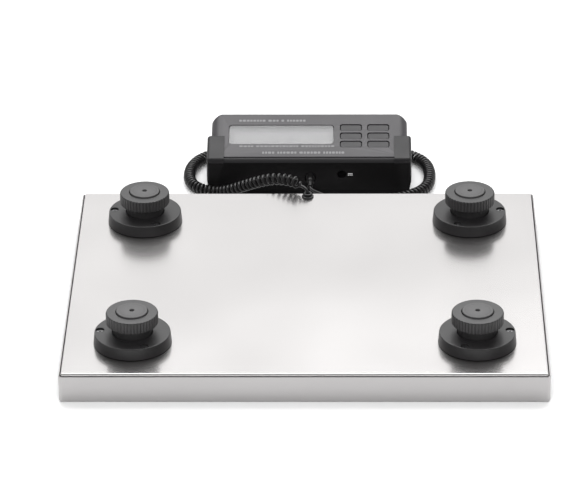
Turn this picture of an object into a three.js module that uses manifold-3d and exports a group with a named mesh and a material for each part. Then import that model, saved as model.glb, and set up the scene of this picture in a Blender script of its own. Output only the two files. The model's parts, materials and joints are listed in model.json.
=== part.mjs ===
// Animal weighing scale: a stainless platform lying on its pan with the four levelling feet up,
// and a display unit in its cradle, joined to the platform by a curly cord.
// Millimetres. +X right, +Y to the rear, +Z up. The origin is the middle of the pan's face, on the floor.
import * as THREE from "three";
import { mergeVertices } from "three/addons/utils/BufferGeometryUtils.js";
import Module from "manifold-3d";

const wasm = await Module();
wasm.setup();

// ---- driving dimensions -------------------------------------------------------------------
const GAP = 0.3;

const PAN = { width: 520, depth: 427, height: 30.8, sheet: 1.5, corner: 4 };
const PLATE = { top: 33.3, sheet: 1.5, edgeGap: 1.2, skirt: 12, corner: 3, footHole: 25, screwHole: 2.2 };
const RAIL = { width: 44, height: 10, sheet: 2, length: 396, crossWidth: 40 };
const RAIL_PAD = { height: 1.7, length: 34, inset: 18 };
const RISER = { sheet: 4, inset: 5 };
const FOOT = { x: 184.3, y: 141.4 };
const CELL = { width: 24, height: 13, length: 100, corner: 1.5, holeInset: 15 };
const GAUGE = { bore: 4.6, shift: 6 };
const FLANGE = { topRadius: 40.9, baseRadius: 42, height: 12.6, bore: 21.5, wall: 3, edge: 0.8, boss: 4 };
const SCREW = { circle: 35, headRadius: 4.4, headHeight: 2.4, shankRadius: 1.7, length: 19, sunk: 2.1, seatLift: 0.1 };
const RECESS = { length: 4.6, width: 1, depth: 1.4, turn: 20 };
const WHEEL = { radius: 28, bottom: 57, top: 70.3, knurls: 26, knurlDepth: 0.9, chamfer: 1.2 };
const SLEEVE = { radius: 21, bottom: 40 };
const STEM = { radius: 6, bottom: 19, top: 66, chamfer: 1.5 };
const PAD = { radius: 16.75, top: 72.1, thickness: 3.6, hole: 2.5, edge: 0.8, clearance: 0.5 };

const JUNCTION = { width: 70, depth: 46, y: 120, z: 16 };
const GROMMET = { y: 202, radius: 6.8, bore: 2.4, hole: 5.2, rim: 1, dome: 3.6, flange: 2 };
const COIL_RADIUS = 7.3;
const WIRE_RADIUS = 1.75;

// The display unit lies on a slope that rises to the rear from the top of the cradle's front wall.
const SLOPE = { x: 0.8, y: 275, z: 42.9, angle: THREE.MathUtils.degToRad(15) };
const CRADLE = { half: 119.8, wall: 3, back: 346, lip: 7, clipWidth: 20, clipLength: 44.5, clipRise: 2.2 };
const CRADLE_SIDE = { slant: 3.6, slantTop: 16, endWall: 8, stepDepth: 0.6, stepLow: 3, stepBelowLip: 5 };
const HOUSING = { half: 115.3, front: 7.4, back: 84, depth: 32, wall: 2.5, split: 8, corner: 10 };
const WINDOW = { x: -33, v: 47.5, width: 123.5, height: 34 };
const KEY = { xs: [49, 81.2], vs: [30.2, 44.9, 59.8], width: 25, height: 11, tall: 6, sink: 0.6 };
const PLUG = { x: 1.2, depth: 22, window: 6.6, mouth: 3.9, socketLength: 16 };
const JACK = { x: 38.2, depth: 18, window: 5.5, mouth: 4, socketLength: 14 };
const SOCKET = { width: 14, height: 12, coverHole: 5.2, mouthDepth: 8 };
const LCD = { margin: 2, thickness: 2.4 };
const BOARD = { width: 214, depth: 66, thickness: 1.6, v: 46, w: -11.6 };
const MAT = { width: 66, depth: 50, thickness: 1.2, x: 65.6, v: 45.6, w: -9.6, dome: 4, domeHeight: 0.9 };
const DOOR = { width: 66, length: 40, v: 55, thickness: 2.2, corner: 2, clearance: 0.3, tabWidth: 20 };
const BATTERY = { radius: 7, length: 44, pitch: 14.4, v: 58.5, w: -22 };

// ---- materials ----------------------------------------------------------------------------
function material(color, roughness, metalness) {
  return new THREE.MeshStandardMaterial({ color, roughness, metalness });
}

const LOOK = {
  steel: () => material(0xcfccca, 0.32, 1),
  zinc: () => material(0xa9abad, 0.4, 1),
  darkSteel: () => material(0x2a2a2c, 0.45, 1),
  aluminium: () => material(0xb9bcc0, 0.35, 1),
  blackPlastic: () => material(0x1c1b1d, 0.5, 0),
  greyPlastic: () => material(0x2b2a2d, 0.45, 0),
  padRubber: () => material(0x303032, 0.7, 0),
  cordSheath: () => material(0x141314, 0.4, 0),
  clearWindow: () => material(0xd4d6d8, 0.08, 0),
  lcd: () => material(0xb4b8b6, 0.3, 0),
  board: () => material(0x14512f, 0.5, 0),
  battery: () => material(0x3a4652, 0.4, 0.3),
};

// ---- helpers ------------------------------------------------------------------------------
// A closed three.js geometry as a manifold solid, ready to be joined or cut.
function solid(geometry) {
  const bare = geometry.index ? geometry.toNonIndexed() : geometry.clone();
  bare.deleteAttribute("normal");
  bare.deleteAttribute("uv");
  const merged = mergeVertices(bare, 1e-4);
  const mesh = new wasm.Mesh({
    numProp: 3,
    vertProperties: merged.attributes.position.array,
    triVerts: new Uint32Array(merged.index.array),
  });
  return new wasm.Manifold(mesh);
}

// The solid's vertices and triangles as a three.js geometry.
function geometryOf(body) {
  const mesh = body.getMesh();
  const geometry = new THREE.BufferGeometry();
  geometry.setAttribute("position", new THREE.BufferAttribute(mesh.vertProperties, 3));
  geometry.setIndex(new THREE.BufferAttribute(mesh.triVerts, 1));
  const faceted = geometry.toNonIndexed();
  faceted.computeVertexNormals();
  return faceted;
}

// A block with its middle at (x, y) and its underside at z.
function block(width, depth, height, x = 0, y = 0, z = 0) {
  return solid(new THREE.BoxGeometry(width, depth, height).translate(x, y, z + height / 2));
}

// An upright round bar, or a cone when the two radii differ.
function post(radius, height, x = 0, y = 0, z = 0, sides = 24, topRadius = radius) {
  const bar = new THREE.CylinderGeometry(topRadius, radius, height, sides).rotateX(Math.PI / 2);
  return solid(bar.translate(x, y, z + height / 2));
}

// A solid of revolution about Z from [radius, height] pairs, listed anticlockwise in that plane.
function turned(profile, sides = 32) {
  const points = profile.map(([r, z]) => new THREE.Vector2(r, z));
  return solid(new THREE.LatheGeometry(points, sides).rotateX(Math.PI / 2));
}

// A rectangle with rounded corners, centred at (x, y).
function roundedRectangle(width, depth, radius, x = 0, y = 0) {
  const shape = new THREE.Shape();
  const right = x + width / 2;
  const left = x - width / 2;
  const top = y + depth / 2;
  const bottom = y - depth / 2;
  shape.absarc(right - radius, bottom + radius, radius, -Math.PI / 2, 0, false);
  shape.absarc(right - radius, top - radius, radius, 0, Math.PI / 2, false);
  shape.absarc(left + radius, top - radius, radius, Math.PI / 2, Math.PI, false);
  shape.absarc(left + radius, bottom + radius, radius, Math.PI, 1.5 * Math.PI, false);
  return shape;
}

// A flat outline raised by height from z.
function raised(shape, height, z = 0, curveSegments = 3) {
  const options = { depth: height, bevelEnabled: false, curveSegments };
  return solid(new THREE.ExtrudeGeometry(shape, options).translate(0, 0, z));
}

// A rounded block with its underside at z.
function roundedBlock(width, depth, height, radius, x = 0, y = 0, z = 0) {
  return raised(roundedRectangle(width, depth, radius, x, y), height, z);
}

function outline(points) {
  return new THREE.Shape(points.map(([a, b]) => new THREE.Vector2(a, b)));
}

// A side outline of [y, z] points, drawn out along X between two places.
function alongX(points, from, to) {
  const options = { depth: to - from, bevelEnabled: false };
  const shape = new THREE.ExtrudeGeometry(outline(points), options);
  shape.rotateX(Math.PI / 2);
  shape.rotateZ(Math.PI / 2);
  return solid(shape.translate(from, 0, 0));
}

// A front outline of [x, z] points, drawn out along Y between two places.
function alongY(points, from, to) {
  const options = { depth: to - from, bevelEnabled: false };
  const shape = new THREE.ExtrudeGeometry(outline(points), options).rotateX(Math.PI / 2);
  return solid(shape.translate(0, to, 0));
}

function union(bodies) {
  return bodies.reduce((all, body) => all.add(body));
}

// A named mesh; body is a manifold solid or a three.js geometry.
function piece(name, body, look) {
  const geometry = body.isBufferGeometry ? body : geometryOf(body);
  const mesh = new THREE.Mesh(geometry, look);
  mesh.name = name;
  return mesh;
}

// A round tube through the points, with the given number of steps along it.
function tube(points, radius, steps, sides) {
  const circle = new THREE.Shape();
  for (let i = 0; i < sides; i++) {
    const angle = (2 * Math.PI * i) / sides;
    const place = [radius * Math.cos(angle), radius * Math.sin(angle)];
    if (i === 0) circle.moveTo(...place);
    else circle.lineTo(...place);
  }
  circle.closePath();
  const route = new THREE.CatmullRomCurve3(points.map((p) => new THREE.Vector3(...p)));
  return new THREE.ExtrudeGeometry(circle, { extrudePath: route, steps, curveSegments: 1 });
}

// ---- platform -----------------------------------------------------------------------------
const PLATE_WIDTH = PAN.width - 2 * (PAN.sheet + PLATE.edgeGap);
const PLATE_DEPTH = PAN.depth - 2 * (PAN.sheet + PLATE.edgeGap);
const RAIL_BOTTOM = PAN.sheet + GAP;
const RAIL_TOP = RAIL_BOTTOM + RAIL.height;
const PLATE_UNDERSIDE = PLATE.top - PLATE.sheet;

// The four corners, each with the side (-1 left, 1 right) and the end (-1 front, 1 rear) it is at.
const CORNERS = [
  { name: "front_left", side: -1, end: -1 },
  { name: "front_right", side: 1, end: -1 },
  { name: "rear_left", side: -1, end: 1 },
  { name: "rear_right", side: 1, end: 1 },
];

// The three screws of a flange: one points outwards, turned a little from the X axis.
function screwPlaces(side) {
  const first = side < 0 ? 174 : 6;
  return [0, 120, 240].map((step) => {
    const angle = THREE.MathUtils.degToRad(first - side * step);
    return [SCREW.circle * Math.cos(angle), SCREW.circle * Math.sin(angle)];
  });
}

function weighingPan() {
  const outer = roundedBlock(PAN.width, PAN.depth, PAN.height, PAN.corner);
  const inside = roundedBlock(
    PAN.width - 2 * PAN.sheet,
    PAN.depth - 2 * PAN.sheet,
    PAN.height,
    PAN.corner - PAN.sheet,
    0,
    0,
    PAN.sheet,
  );
  return piece("weighing_pan", outer.subtract(inside), LOOK.steel());
}

function basePlate() {
  const bottom = PLATE.top - PLATE.skirt;
  let plate = roundedBlock(PLATE_WIDTH, PLATE_DEPTH, PLATE.skirt, PLATE.corner, 0, 0, bottom);
  const innerWidth = PLATE_WIDTH - 2 * PLATE.sheet;
  const innerDepth = PLATE_DEPTH - 2 * PLATE.sheet;
  const innerCorner = PLATE.corner - PLATE.sheet;
  plate = plate.subtract(
    roundedBlock(innerWidth, innerDepth, PLATE.skirt, innerCorner, 0, 0, bottom - PLATE.sheet),
  );
  const cutHeight = 10;
  const cutBottom = PLATE_UNDERSIDE - cutHeight / 2;
  for (const { side, end } of CORNERS) {
    const x = side * FOOT.x;
    const y = end * FOOT.y;
    plate = plate.subtract(post(PLATE.footHole, cutHeight, x, y, cutBottom));
    for (const [dx, dy] of screwPlaces(side)) {
      plate = plate.subtract(post(PLATE.screwHole, cutHeight, x + dx, y + dy, cutBottom, 6));
    }
  }
  plate = plate.subtract(post(GROMMET.hole, cutHeight, 0, GROMMET.y, cutBottom, 16));
  return piece("base_plate", plate, LOOK.steel());
}

// A channel welded into the pan under two feet, with pads for the load cells and a riser at each
// end that carries the base plate.
function frameRail(name, side) {
  const x = side * FOOT.x;
  const { width, height, sheet, length } = RAIL;
  let rail = block(width, length, height, x, 0, RAIL_BOTTOM);
  rail = rail.subtract(block(width - 2 * sheet, length + 2, height, x, 0, RAIL_BOTTOM - sheet));
  const riserHeight = PLATE_UNDERSIDE - GAP - RAIL_TOP;
  for (const end of [-1, 1]) {
    const padY = end * (FOOT.y + CELL.holeInset - CELL.length + RAIL_PAD.inset);
    rail = rail.add(block(CELL.width, RAIL_PAD.length, RAIL_PAD.height + 1, x, padY, RAIL_TOP - 1));
    const riserY = end * (length / 2 - RISER.inset);
    rail = rail.add(block(width, RISER.sheet, riserHeight + 1, x, riserY, RAIL_TOP - 1));
  }
  return piece(name, rail, LOOK.zinc());
}

function crossRail() {
  const length = 2 * FOOT.x - RAIL.width - 2 * GAP;
  const { height, sheet, crossWidth } = RAIL;
  let rail = block(length, crossWidth, height, 0, 0, RAIL_BOTTOM);
  rail = rail.subtract(block(length + 2, crossWidth - 2 * sheet, height, 0, 0, RAIL_BOTTOM - sheet));
  return piece("cross_rail", rail, LOOK.zinc());
}

// A bending-beam load cell: held at its inner end, with the foot's stem through its outer end.
function loadCell({ name, side, end }) {
  const x = side * FOOT.x;
  const z = RAIL_TOP + RAIL_PAD.height + GAP;
  const { width, length, height, corner, holeInset } = CELL;
  const middleY = end * (FOOT.y + holeInset - length / 2);
  let cell = roundedBlock(width, length, height, corner, x, middleY, z);
  const stemHole = STEM.radius + 0.4;
  cell = cell.subtract(post(stemHole, 2 * height, x, end * FOOT.y, z - height / 2, 16));
  for (const shift of [-GAUGE.shift, GAUGE.shift]) {
    const bore = new THREE.CylinderGeometry(GAUGE.bore, GAUGE.bore, 2 * width, 12);
    bore.rotateZ(Math.PI / 2);
    cell = cell.subtract(solid(bore.translate(x, middleY + shift, z + height / 2)));
  }
  return piece(`load_cell_${name}`, cell, LOOK.aluminium());
}

// The moulded cup around a foot, open underneath, with three screw bosses and a guide for the sleeve.
function footFlange({ name, side, end }) {
  const { topRadius, baseRadius, height, bore, wall, edge, boss } = FLANGE;
  const base = PLATE.top + GAP;
  const top = base + height;
  const shell = turned(
    [
      [bore, base],
      [bore + wall, base],
      [bore + wall, top - wall],
      [topRadius - wall, top - wall],
      [baseRadius - wall, base],
      [baseRadius, base],
      [topRadius, top - edge],
      [topRadius - edge, top],
      [bore, top],
      [bore, base],
    ],
    28,
  );
  let flange = shell;
  const places = screwPlaces(side);
  for (const [dx, dy] of places) {
    flange = flange.add(post(boss, height - 1, dx, dy, base, 10));
  }
  const headBottom = top - SCREW.sunk - SCREW.headHeight + SCREW.seatLift;
  const holeRadius = SCREW.shankRadius + 0.4;
  const seatRadius = SCREW.headRadius + GAP;
  for (const [dx, dy] of places) {
    flange = flange.subtract(post(holeRadius, 2 * height, dx, dy, base - height / 2, 8));
    flange = flange.subtract(post(seatRadius, height, dx, dy, headBottom + SCREW.headHeight, 12));
    flange = flange.subtract(post(holeRadius, SCREW.headHeight, dx, dy, headBottom, 12, seatRadius));
  }
  flange = flange.translate([side * FOOT.x, end * FOOT.y, 0]);
  return piece(`foot_flange_${name}`, flange, LOOK.blackPlastic());
}

// A countersunk screw with a cross recess.
function flangeScrew(name, x, y) {
  const { headRadius, headHeight, shankRadius, length, sunk } = SCREW;
  const top = PLATE.top + GAP + FLANGE.height - sunk;
  const turnedBody = turned(
    [
      [0, top - length],
      [shankRadius, top - length + 2],
      [shankRadius, top - headHeight],
      [headRadius, top],
      [0, top],
    ],
    12,
  );
  const recess = [0, 90].map((angle) =>
    block(RECESS.length, RECESS.width, 2, 0, 0, top - RECESS.depth).rotate([0, 0, angle + RECESS.turn]),
  );
  return piece(name, turnedBody.subtract(union(recess)).translate([x, y, 0]), LOOK.darkSteel());
}

// ---- levelling feet -----------------------------------------------------------------------
// The knurled wheel's outline: a shallow groove between every two ridges.
function knurledOutline() {
  const { radius, knurls, knurlDepth } = WHEEL;
  const points = [];
  for (let i = 0; i < 2 * knurls; i++) {
    const angle = (Math.PI * i) / knurls;
    const reach = i % 2 === 0 ? radius : radius - knurlDepth;
    points.push([reach * Math.cos(angle), reach * Math.sin(angle)]);
  }
  return outline(points);
}

function footWheel({ name, side, end }) {
  const { radius, bottom, top, knurlDepth, chamfer } = WHEEL;
  const rim = raised(knurledOutline(), top - bottom, bottom, 1);
  const limit = turned(
    [
      [0, bottom],
      [radius - knurlDepth, bottom],
      [radius + 0.2, bottom + chamfer],
      [radius + 0.2, top - chamfer],
      [radius - knurlDepth, top],
      [0, top],
    ],
    32,
  );
  let wheel = rim.intersect(limit);
  wheel = wheel.add(post(SLEEVE.radius, bottom - SLEEVE.bottom + 1, 0, 0, SLEEVE.bottom, 32));
  const recess = PAD.top - PAD.thickness - GAP;
  wheel = wheel.subtract(post(PAD.radius + PAD.clearance, top, 0, 0, recess, 28));
  wheel = wheel.subtract(post(STEM.radius + GAP, top, 0, 0, SLEEVE.bottom / 2, 16));
  wheel = wheel.translate([side * FOOT.x, end * FOOT.y, 0]);
  return piece(`foot_wheel_${name}`, wheel, LOOK.blackPlastic());
}

function footStem({ name, side, end }) {
  const { radius, bottom, top, chamfer } = STEM;
  const stem = turned(
    [
      [0, bottom],
      [radius - chamfer, bottom],
      [radius, bottom + chamfer],
      [radius, top - 1],
      [radius - 1, top],
      [0, top],
    ],
    16,
  );
  const placed = stem.translate([side * FOOT.x, end * FOOT.y, 0]);
  return piece(`foot_stem_${name}`, placed, LOOK.zinc());
}

function footPad({ name, side, end }) {
  const { radius, top, thickness, hole, edge } = PAD;
  const bottom = top - thickness;
  const pad = turned(
    [
      [hole, bottom],
      [radius, bottom],
      [radius, top - edge],
      [radius - edge, top],
      [hole, top],
      [hole, bottom],
    ],
    28,
  );
  return piece(`foot_pad_${name}`, pad.translate([side * FOOT.x, end * FOOT.y, 0]), LOOK.padRubber());
}

function feet() {
  const group = new THREE.Group();
  for (const corner of CORNERS) {
    group.add(footFlange(corner), footWheel(corner), footStem(corner), footPad(corner));
    screwPlaces(corner.side).forEach(([dx, dy], index) => {
      const name = `flange_screw_${corner.name}_${index + 1}`;
      const x = corner.side * FOOT.x + dx;
      const y = corner.end * FOOT.y + dy;
      group.add(flangeScrew(name, x, y));
    });
  }
  return group;
}

function junctionBoard() {
  const { width, depth, y, z } = JUNCTION;
  const board = roundedBlock(width, depth, 1.6, 2, 0, y, z);
  const standOffs = [-0.4, 0.4].map((share) => {
    return post(3, z + 0.5 - RAIL_BOTTOM, share * width, y, RAIL_BOTTOM, 8);
  });
  const header = block(30, 10, 8, 0, y + 14, z + 1);
  const chip = block(16, 16, 4, -12, y - 4, z + 1);
  return piece("junction_board", union([board, header, chip, ...standOffs]), LOOK.board());
}

// The strain relief: a moulded dome above the plate, with a groove that holds the plate's edge.
function cordGrommet() {
  const { radius, bore, hole, rim, dome: domeHeight, flange } = GROMMET;
  const above = PLATE.top + GAP;
  const below = PLATE_UNDERSIDE - GAP;
  const dome = [];
  for (let i = 0; i <= 3; i++) {
    const angle = (i / 3) * (Math.PI / 2);
    const reach = bore + (radius - bore) * Math.cos(angle);
    dome.push([reach, above + rim + domeHeight * Math.sin(angle)]);
  }
  const grommet = turned(
    [
      [bore, below - flange],
      [radius, below - flange],
      [radius, below],
      [hole - GAP, below],
      [hole - GAP, above],
      [radius, above],
      ...dome,
      [bore, below - flange],
    ],
    16,
  );
  return piece("cord_grommet", grommet.translate([0, GROMMET.y, 0]), LOOK.blackPlastic());
}

function platform() {
  const group = new THREE.Group();
  group.add(weighingPan(), basePlate());
  group.add(frameRail("frame_rail_left", -1), frameRail("frame_rail_right", 1), crossRail());
  group.add(...CORNERS.map(loadCell));
  group.add(junctionBoard(), cordGrommet());
  return group;
}

// ---- cord ---------------------------------------------------------------------------------
// Straight lead from the grommet to where the coils start, over the platform's rear edge.
const PLATFORM_LEAD = [
  [0, 202, 37.4],
  [-0.3, 202.5, 39.4],
  [-1.6, 203.9, 41.2],
  [-3.8, 206.1, 42.5],
  [-6.2, 208.5, 43],
];

// The middle of the coils: down off the platform, round the display unit and back behind it.
const COIL_ROUTE = [
  [-6.5, 208.8, 43],
  [-16, 218, 44.5],
  [-29, 227, 43],
  [-43, 234, 39.5],
  [-57, 241, 33],
  [-72, 248, 25],
  [-87, 254.5, 16.5],
  [-101, 260.5, 10.2],
  [-114, 265.6, 8],
  [-126, 272, 7.7],
  [-134.5, 281.5, 7.7],
  [-139.4, 295, 7.7],
  [-140.6, 311, 7.7],
  [-138.8, 328, 7.7],
  [-132.5, 344.5, 7.7],
  [-121, 358, 7.7],
  [-104, 367.5, 7.7],
  [-80, 372, 7.7],
  [-40, 373.5, 7.7],
  [0, 374, 7.7],
  [40, 373.5, 7.7],
  [80, 372, 7.7],
  [104, 367.5, 7.7],
  [121, 359.5, 7.7],
  [132.5, 348, 7.7],
  [139.5, 334, 7.7],
  [142.4, 317, 7.7],
  [142.4, 300, 7.7],
  [140, 284, 7.7],
  [133.8, 270, 7.7],
  [123, 258.5, 7.7],
  [107, 249.5, 7.7],
  [88, 244.5, 7.7],
  [66, 242.5, 7.7],
  [46, 242, 7.7],
];

// Straight lead from the coils' end up to the plug in the display unit's front.
const DISPLAY_LEAD = [
  [45.4, 242, 7.7],
  [38, 242.2, 8],
  [30, 243.6, 9],
  [22, 247, 10.6],
  [14.5, 250.6, 12.4],
  [7.6, 253.8, 14],
  [3.4, 257, 15.2],
  [2, 260.4, 16.2],
  [2, 264.2, 17.2],
];

function cords() {
  const group = new THREE.Group();
  group.add(piece("cord_platform_lead", tube(PLATFORM_LEAD, WIRE_RADIUS, 8, 8), LOOK.cordSheath()));
  group.add(piece("curly_cord", tube(COIL_ROUTE, COIL_RADIUS, 60, 8), LOOK.cordSheath()));
  group.add(piece("cord_display_lead", tube(DISPLAY_LEAD, WIRE_RADIUS, 12, 8), LOOK.cordSheath()));
  return group;
}

// ---- display unit -------------------------------------------------------------------------
// The unit is drawn flat, with X across, Y up the slope and Z off its face, then tilted onto the
// slope. onSlope gives the [y, z] of a place v up the slope and w above the face.
const COS = Math.cos(SLOPE.angle);
const SIN = Math.sin(SLOPE.angle);

function onSlope(v, w) {
  return [SLOPE.y + v * COS - w * SIN, SLOPE.z + v * SIN + w * COS];
}

// Turns a solid drawn flat on the face onto the slope.
function tilt(body) {
  const degrees = THREE.MathUtils.radToDeg(SLOPE.angle);
  return body.rotate([degrees, 0, 0]).translate([0, SLOPE.y, SLOPE.z]);
}

// A round bar along the slope: x, w and radius, between two places up the slope.
function slopeBar(x, w, radius, from, to, sides = 16) {
  const bar = new THREE.CylinderGeometry(radius, radius, to - from, sides);
  return tilt(solid(bar.translate(x, (from + to) / 2, w)));
}

function cradle() {
  const { half, wall, back, lip, clipWidth, clipLength, clipRise } = CRADLE;
  const floor = -HOUSING.depth - GAP;
  const { slant, slantTop, endWall, stepDepth, stepLow, stepBelowLip } = CRADLE_SIDE;
  const [floorY, floorZ] = onSlope(0, floor);
  const side = [
    [SLOPE.y, 0],
    [back, 0],
    [back, floorZ + (back - floorY) * Math.tan(SLOPE.angle)],
    onSlope(clipLength + 16, floor + 3),
    onSlope(clipLength + 4, floor + 10),
    onSlope(clipLength, floor + 20),
    onSlope(clipLength, clipRise),
    onSlope(2, clipRise),
    [SLOPE.y, SLOPE.z],
  ];
  const tall = 2 * SLOPE.z;
  const front = [
    [-half + slant, 0],
    [half - slant, 0],
    [half, slantTop],
    [half, tall],
    [-half, tall],
    [-half, slantTop],
  ];
  let body = alongX(side, -half, half).intersect(alongY(front, SLOPE.y - wall, 2 * back));
  const long = 2 * HOUSING.back;
  const pocketWidth = 2 * (HOUSING.half + 0.5);
  const pocket = block(pocketWidth, long, GAP - floor, 0, lip + long / 2, floor);
  const betweenClips = 2 * (half - clipWidth);
  const openFace = block(betweenClips, 2 * long, -floor, 0, long / 2, 0);
  body = body.subtract(tilt(pocket)).subtract(tilt(openFace));
  const behindLip = lip + 0.1;
  const hollow = [
    [SLOPE.y + wall, wall],
    [back + wall, wall],
    onSlope(back - SLOPE.y, floor - wall),
    onSlope(behindLip, floor - wall),
    onSlope(behindLip, -wall),
    [SLOPE.y + wall, SLOPE.z - wall],
  ];
  body = body.subtract(alongX(hollow, -half + endWall, half - endWall));
  for (const { x, depth: w, window } of [PLUG, JACK]) {
    body = body.subtract(slopeBar(x, -w, window, -HOUSING.depth, lip + 1));
  }
  const stepHeight = SLOPE.z - stepBelowLip - stepLow;
  const step = block(betweenClips, 2 * stepDepth, stepHeight, 0, SLOPE.y, stepLow);
  return piece("display_cradle", body.subtract(step), LOOK.blackPlastic());
}

function housingOutline(inset) {
  const { half, front, back, corner } = HOUSING;
  const width = 2 * (half - inset);
  const length = back - front - 2 * inset;
  return roundedRectangle(width, length, corner - inset, 0, (front + back) / 2);
}

function keyOutline(x, v, grow) {
  return roundedRectangle(KEY.width + 2 * grow, KEY.height + 2 * grow, 2 + grow, x, v);
}

function frontCover() {
  const { split, wall } = HOUSING;
  let cover = raised(housingOutline(0), split, -split);
  cover = cover.subtract(raised(housingOutline(wall), split, -split - wall));
  const { x, v, width, height } = WINDOW;
  cover = cover.subtract(roundedBlock(width, height, 20, 3, x, v, -10));
  for (const keyX of KEY.xs) {
    for (const keyV of KEY.vs) {
      cover = cover.subtract(raised(keyOutline(keyX, keyV, 0.4), 20, -10));
    }
  }
  return piece("front_cover", tilt(cover), LOOK.greyPlastic());
}

function rearCover() {
  const { split, wall, depth, front } = HOUSING;
  const height = depth - split - GAP;
  let cover = raised(housingOutline(0), height, -depth);
  cover = cover.subtract(raised(housingOutline(wall), height, -depth + wall));
  const { width, length, v, corner, clearance } = DOOR;
  const opening = [width + 2 * clearance, length + 2 * clearance, 4 * wall, corner + clearance];
  cover = cover.subtract(roundedBlock(...opening, 0, v, -depth - wall));
  const { coverHole } = SOCKET;
  for (const { x, depth: w } of [PLUG, JACK]) {
    const hole = new THREE.CylinderGeometry(coverHole, coverHole, 4 * wall, 16);
    cover = cover.subtract(solid(hole.translate(x, front, -w)));
  }
  return piece("rear_cover", tilt(cover), LOOK.blackPlastic());
}

function displayWindow() {
  const { x, v, width, height } = WINDOW;
  const inWindow = roundedBlock(width - 0.8, height - 0.8, 2.6, 2.6, x, v, -3.1);
  const ledge = roundedBlock(width + 6, height + 6, 1, 3, x, v, -HOUSING.wall - GAP - 1);
  return piece("display_window", tilt(inWindow.add(ledge)), LOOK.clearWindow());
}

function lcdPanel() {
  const { x, v, width, height } = WINDOW;
  const { margin, thickness } = LCD;
  const top = -HOUSING.wall - 2 * GAP - 1;
  const glass = block(width + margin, height + margin, thickness, x, v, top - thickness);
  return piece("lcd_panel", tilt(glass), LOOK.lcd());
}

function keyMat() {
  const { width, depth, thickness, x: matX, v: matV, w, dome, domeHeight } = MAT;
  const mat = roundedBlock(width, depth, thickness, 3, matX, matV, w);
  const domes = [];
  for (const x of KEY.xs) {
    for (const v of KEY.vs) domes.push(post(dome, domeHeight, x, v, w + 1, 8));
  }
  return piece("key_mat", tilt(union([mat, ...domes])), LOOK.padRubber());
}

function keys() {
  const group = new THREE.Group();
  KEY.vs.forEach((v, row) => {
    KEY.xs.forEach((x, column) => {
      const cap = raised(keyOutline(x, v, 0), KEY.tall, -KEY.sink - KEY.tall);
      const number = (KEY.vs.length - 1 - row) * KEY.xs.length + column + 1;
      group.add(piece(`key_${number}`, tilt(cap), LOOK.greyPlastic()));
    });
  });
  return group;
}

function mainBoard() {
  const { width, depth, thickness, v, w } = BOARD;
  const board = block(width, depth, thickness, 0, v, w);
  const chips = [block(18, 18, 3, -40, v + 4, w - 2.8), block(12, 8, 3, 10, v - 6, w - 2.8)];
  const header = block(30, 8, 6, 70, v + 19, w - 5.8);
  return piece("main_board", tilt(union([board, header, ...chips])), LOOK.board());
}

function batteryDoor() {
  const { width, length, v, thickness, corner, tabWidth } = DOOR;
  const bottom = -HOUSING.depth;
  const edge = v - length / 2;
  const door = roundedBlock(width, length, thickness, corner, 0, v, bottom);
  const tab = block(tabWidth, 8, 1.6, 0, edge - 3.5, bottom + HOUSING.wall + 0.25);
  const neck = block(tabWidth, 4, 1.9, 0, edge + 2.2, bottom + 1);
  return piece("battery_door", tilt(union([door, tab, neck])), LOOK.blackPlastic());
}

function batteryPack() {
  const { radius, length, pitch, v, w } = BATTERY;
  const cells = [-1.5, -0.5, 0.5, 1.5].map((place) => {
    const cell = new THREE.CylinderGeometry(radius, radius, length, 12);
    return solid(cell.translate(place * pitch, v, w));
  });
  const tray = block(4 * pitch, 36, 4, 0, v - 2.5, w - 3);
  return piece("battery_pack", tilt(union([tray, ...cells])), LOOK.battery());
}

// A socket behind the housing's front wall, with its mouth facing down the slope.
function socket(name, { x, depth, mouth, socketLength }) {
  const { width, height, mouthDepth } = SOCKET;
  const from = HOUSING.front + HOUSING.wall + GAP;
  const middleV = from + socketLength / 2;
  const body = block(width, socketLength, height, x, middleV, -depth - height / 2);
  const hole = new THREE.CylinderGeometry(mouth, mouth, 2 * mouthDepth, 12);
  const opened = body.subtract(solid(hole.translate(x, from, -depth)));
  return piece(name, tilt(opened), LOOK.blackPlastic());
}

// The plug lies along the slope: a grip with a collar, a nose in the socket and a hollow tail
// that takes the lead.
function cordPlug() {
  const profile = [
    [0, -16],
    [2.1, -16],
    [2.3, -20.4],
    [3.2, -20.4],
    [3.6, -14],
    [5, -12],
    [5, 4],
    [3.4, 6],
    [3.4, 14.5],
    [0, 14.5],
  ];
  const points = profile.map(([r, v]) => new THREE.Vector2(r, v));
  const turnedPlug = solid(new THREE.LatheGeometry(points, 16));
  return piece("cord_plug", tilt(turnedPlug.translate([PLUG.x, 0, -PLUG.depth])), LOOK.cordSheath());
}

function displayUnit() {
  const group = new THREE.Group();
  group.add(cradle(), rearCover(), frontCover(), displayWindow(), lcdPanel());
  group.add(keys(), keyMat(), mainBoard(), batteryDoor(), batteryPack());
  group.add(socket("data_socket", PLUG), socket("power_socket", JACK));
  group.add(cordPlug());
  group.position.x = SLOPE.x;
  return group;
}

const scale = new THREE.Group();
scale.add(platform(), feet(), cords(), displayUnit());

export default scale;
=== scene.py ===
"""The looks of the animal weighing scale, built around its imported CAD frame. Metres throughout."""

import json
import math
import random

import bmesh
import bpy
from mathutils import Matrix, Vector


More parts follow.
